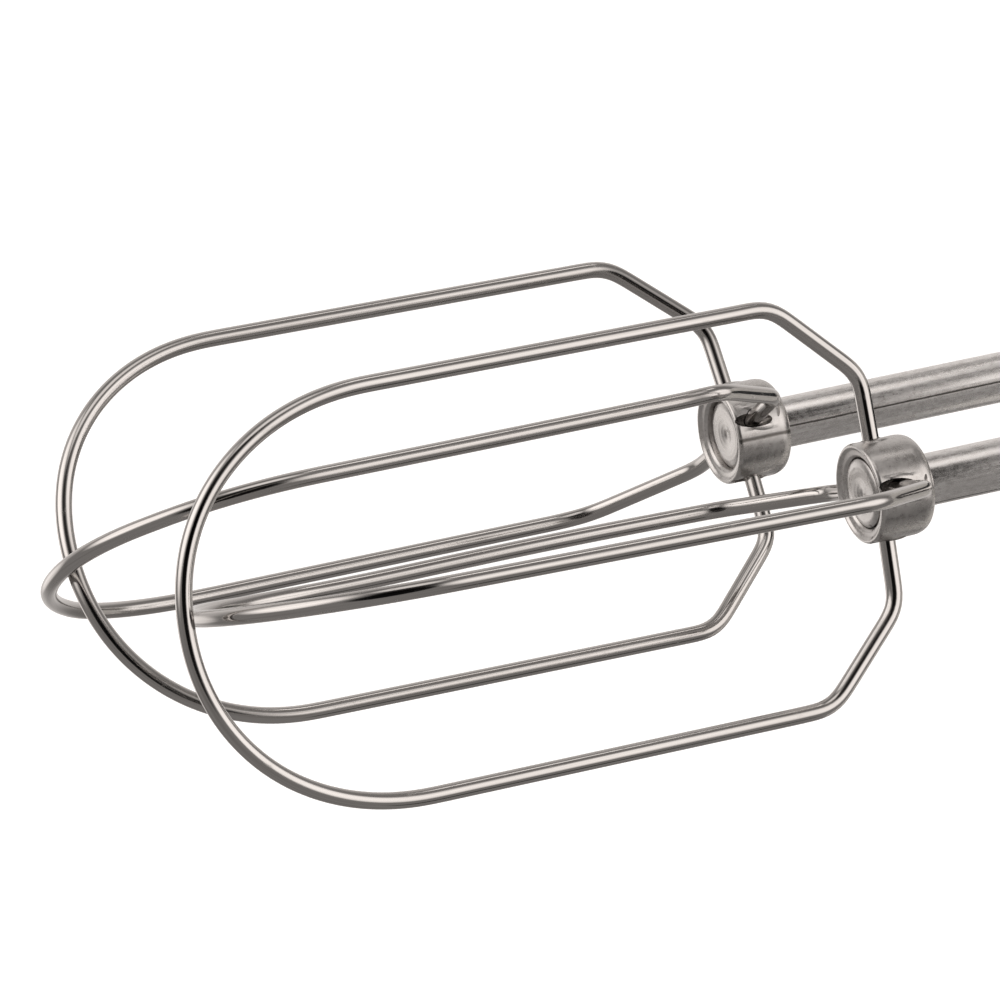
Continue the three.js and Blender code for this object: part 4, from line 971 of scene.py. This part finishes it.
# ---- Stage ------------------------------------------------------------------------------------
def stage():
    """A plain white floor that takes a soft shadow and isn't mirrored in the steel."""
    material = bpy.data.materials.new("floor")
    n = Nodes(material)
    shader = n.add("ShaderNodeBsdfPrincipled", {"Base Color": (0.9, 0.9, 0.9, 1), "Roughness": 0.9,
                                                "Emission Color": (1, 1, 1, 1), "Emission Strength": 0.38})
    n.add("ShaderNodeOutputMaterial", {"Surface": shader.outputs["BSDF"]})
    size = 12000
    corners = [(-size, -size, 0), (size, -size, 0), (size, size, 0), (-size, size, 0)]
    floor = make("floor", corners, [(0, 1, 2, 3)], smooth=False)
    floor.data.materials.append(material)
    floor.visible_glossy = False


# The studio that the steel mirrors, as seen from the beaters. A light is its direction, the half-angles
# where it is full and where it ends, and its brightness. A dark card has its depth in place of that.
LIGHTS = [
    ((0.0, -0.26, 0.97), 8, 20, 0.9),
    ((0.66, -0.72, 0.2), 18, 38, 1.3),
    ((-0.77, 0.11, 0.62), 14, 40, 1.5),
    ((0.3, 0.94, 0.15), 25, 65, 0.5),
    ((-0.38, 0.89, -0.25), 6, 22, 0.7),
    ((0.377, 0.03, 0.925), 3, 7, 1.6),
]
DARKS = [
    ((-0.33, -0.9, 0.28), 22, 30, 0.98),
    ((-0.17, -0.72, 0.67), 12, 24, 0.88),
    ((0.377, -0.49, -0.785), 5, 10, 0.7),
]
AMBIENT = 0.26
WARM_WHITE = (1.0, 0.955, 0.925, 1)
LAMP_TARGET = (0, 0, 0.1)


def lobe(n, direction, toward, full, end):
    """1 within the half-angle full of a direction, fading to 0 at the half-angle end."""
    cosine = n.vector("DOT_PRODUCT", direction, Vector(toward).normalized(), "Value")
    cosine_end, cosine_full = math.cos(math.radians(end)), math.cos(math.radians(full))
    inputs = {0: cosine, 1: cosine_end, 2: cosine_full, 3: 0.0, 4: 1.0}
    return n.add("ShaderNodeMapRange", inputs, interpolation_type="SMOOTHSTEP").outputs["Result"]


def surroundings():
    """The studio as light and reflections. The camera itself sees plain white."""
    world = bpy.data.worlds.new("studio")
    bpy.context.scene.world = world
    n = Nodes(world)
    direction = n.add("ShaderNodeTexCoord").outputs["Generated"]
    total = AMBIENT
    for toward, full, end, strength in LIGHTS:
        total = n.math("ADD", total, n.math("MULTIPLY", lobe(n, direction, toward, full, end), strength))
    for toward, full, end, depth in DARKS:
        shade = n.math("MULTIPLY", lobe(n, direction, toward, full, end), depth)
        total = n.math("MULTIPLY", total, n.math("SUBTRACT", 1.0, shade))
    tinted = n.add("ShaderNodeBackground", {"Color": WARM_WHITE, "Strength": total}).outputs["Background"]
    plain = n.add("ShaderNodeBackground", {"Color": (1, 1, 1, 1), "Strength": 1.0}).outputs["Background"]
    seen = n.add("ShaderNodeLightPath").outputs["Is Camera Ray"]
    mixed = n.add("ShaderNodeMixShader", {0: seen, 1: tinted, 2: plain})
    n.add("ShaderNodeOutputWorld", {"Surface": mixed.outputs["Shader"]})


def area_light(name, place, size, power):
    """A soft round lamp that gives shadows and isn't seen or mirrored."""
    data = bpy.data.lights.new(name, "AREA")
    data.shape = "DISK"
    data.size = size
    data.energy = power
    data.color = (1.0, 0.98, 0.955)
    obj = bpy.data.objects.new(name, data)
    bpy.context.scene.collection.objects.link(obj)
    obj.location = place
    obj.rotation_euler = (Vector(LAMP_TARGET) - Vector(place)).to_track_quat("-Z", "Y").to_euler()
    obj.visible_camera = False
    obj.visible_glossy = False


def camera():
    """A long lens on the beaters from the front left and a little above, fitted to the photograph."""
    data = bpy.data.cameras.new("camera")
    data.lens = 247.44
    data.sensor_width = 36
    data.clip_start, data.clip_end = 0.05, 60
    obj = bpy.data.objects.new("camera", data)
    bpy.context.scene.collection.objects.link(obj)
    place = (-0.44589510, -0.73002798, 0.35844556)
    right = Vector((0.90620438, -0.41117734, -0.09862464))
    up = Vector((0.19103297, 0.19003516, 0.96301248))
    turn = Matrix((right, up, right.cross(up))).transposed()
    obj.matrix_world = Matrix.Translation(place) @ turn.to_4x4()
    bpy.context.scene.camera = obj


plain_nodes()
stage()
surroundings()
area_light("key", (-1.2, -1.4, 2.0), 1.4, 20)
area_light("fill", (1.6, -1.0, 1.2), 1.2, 6)
camera()
settings = bpy.context.scene.view_settings
settings.view_transform = "Standard"
settings.look = "None"
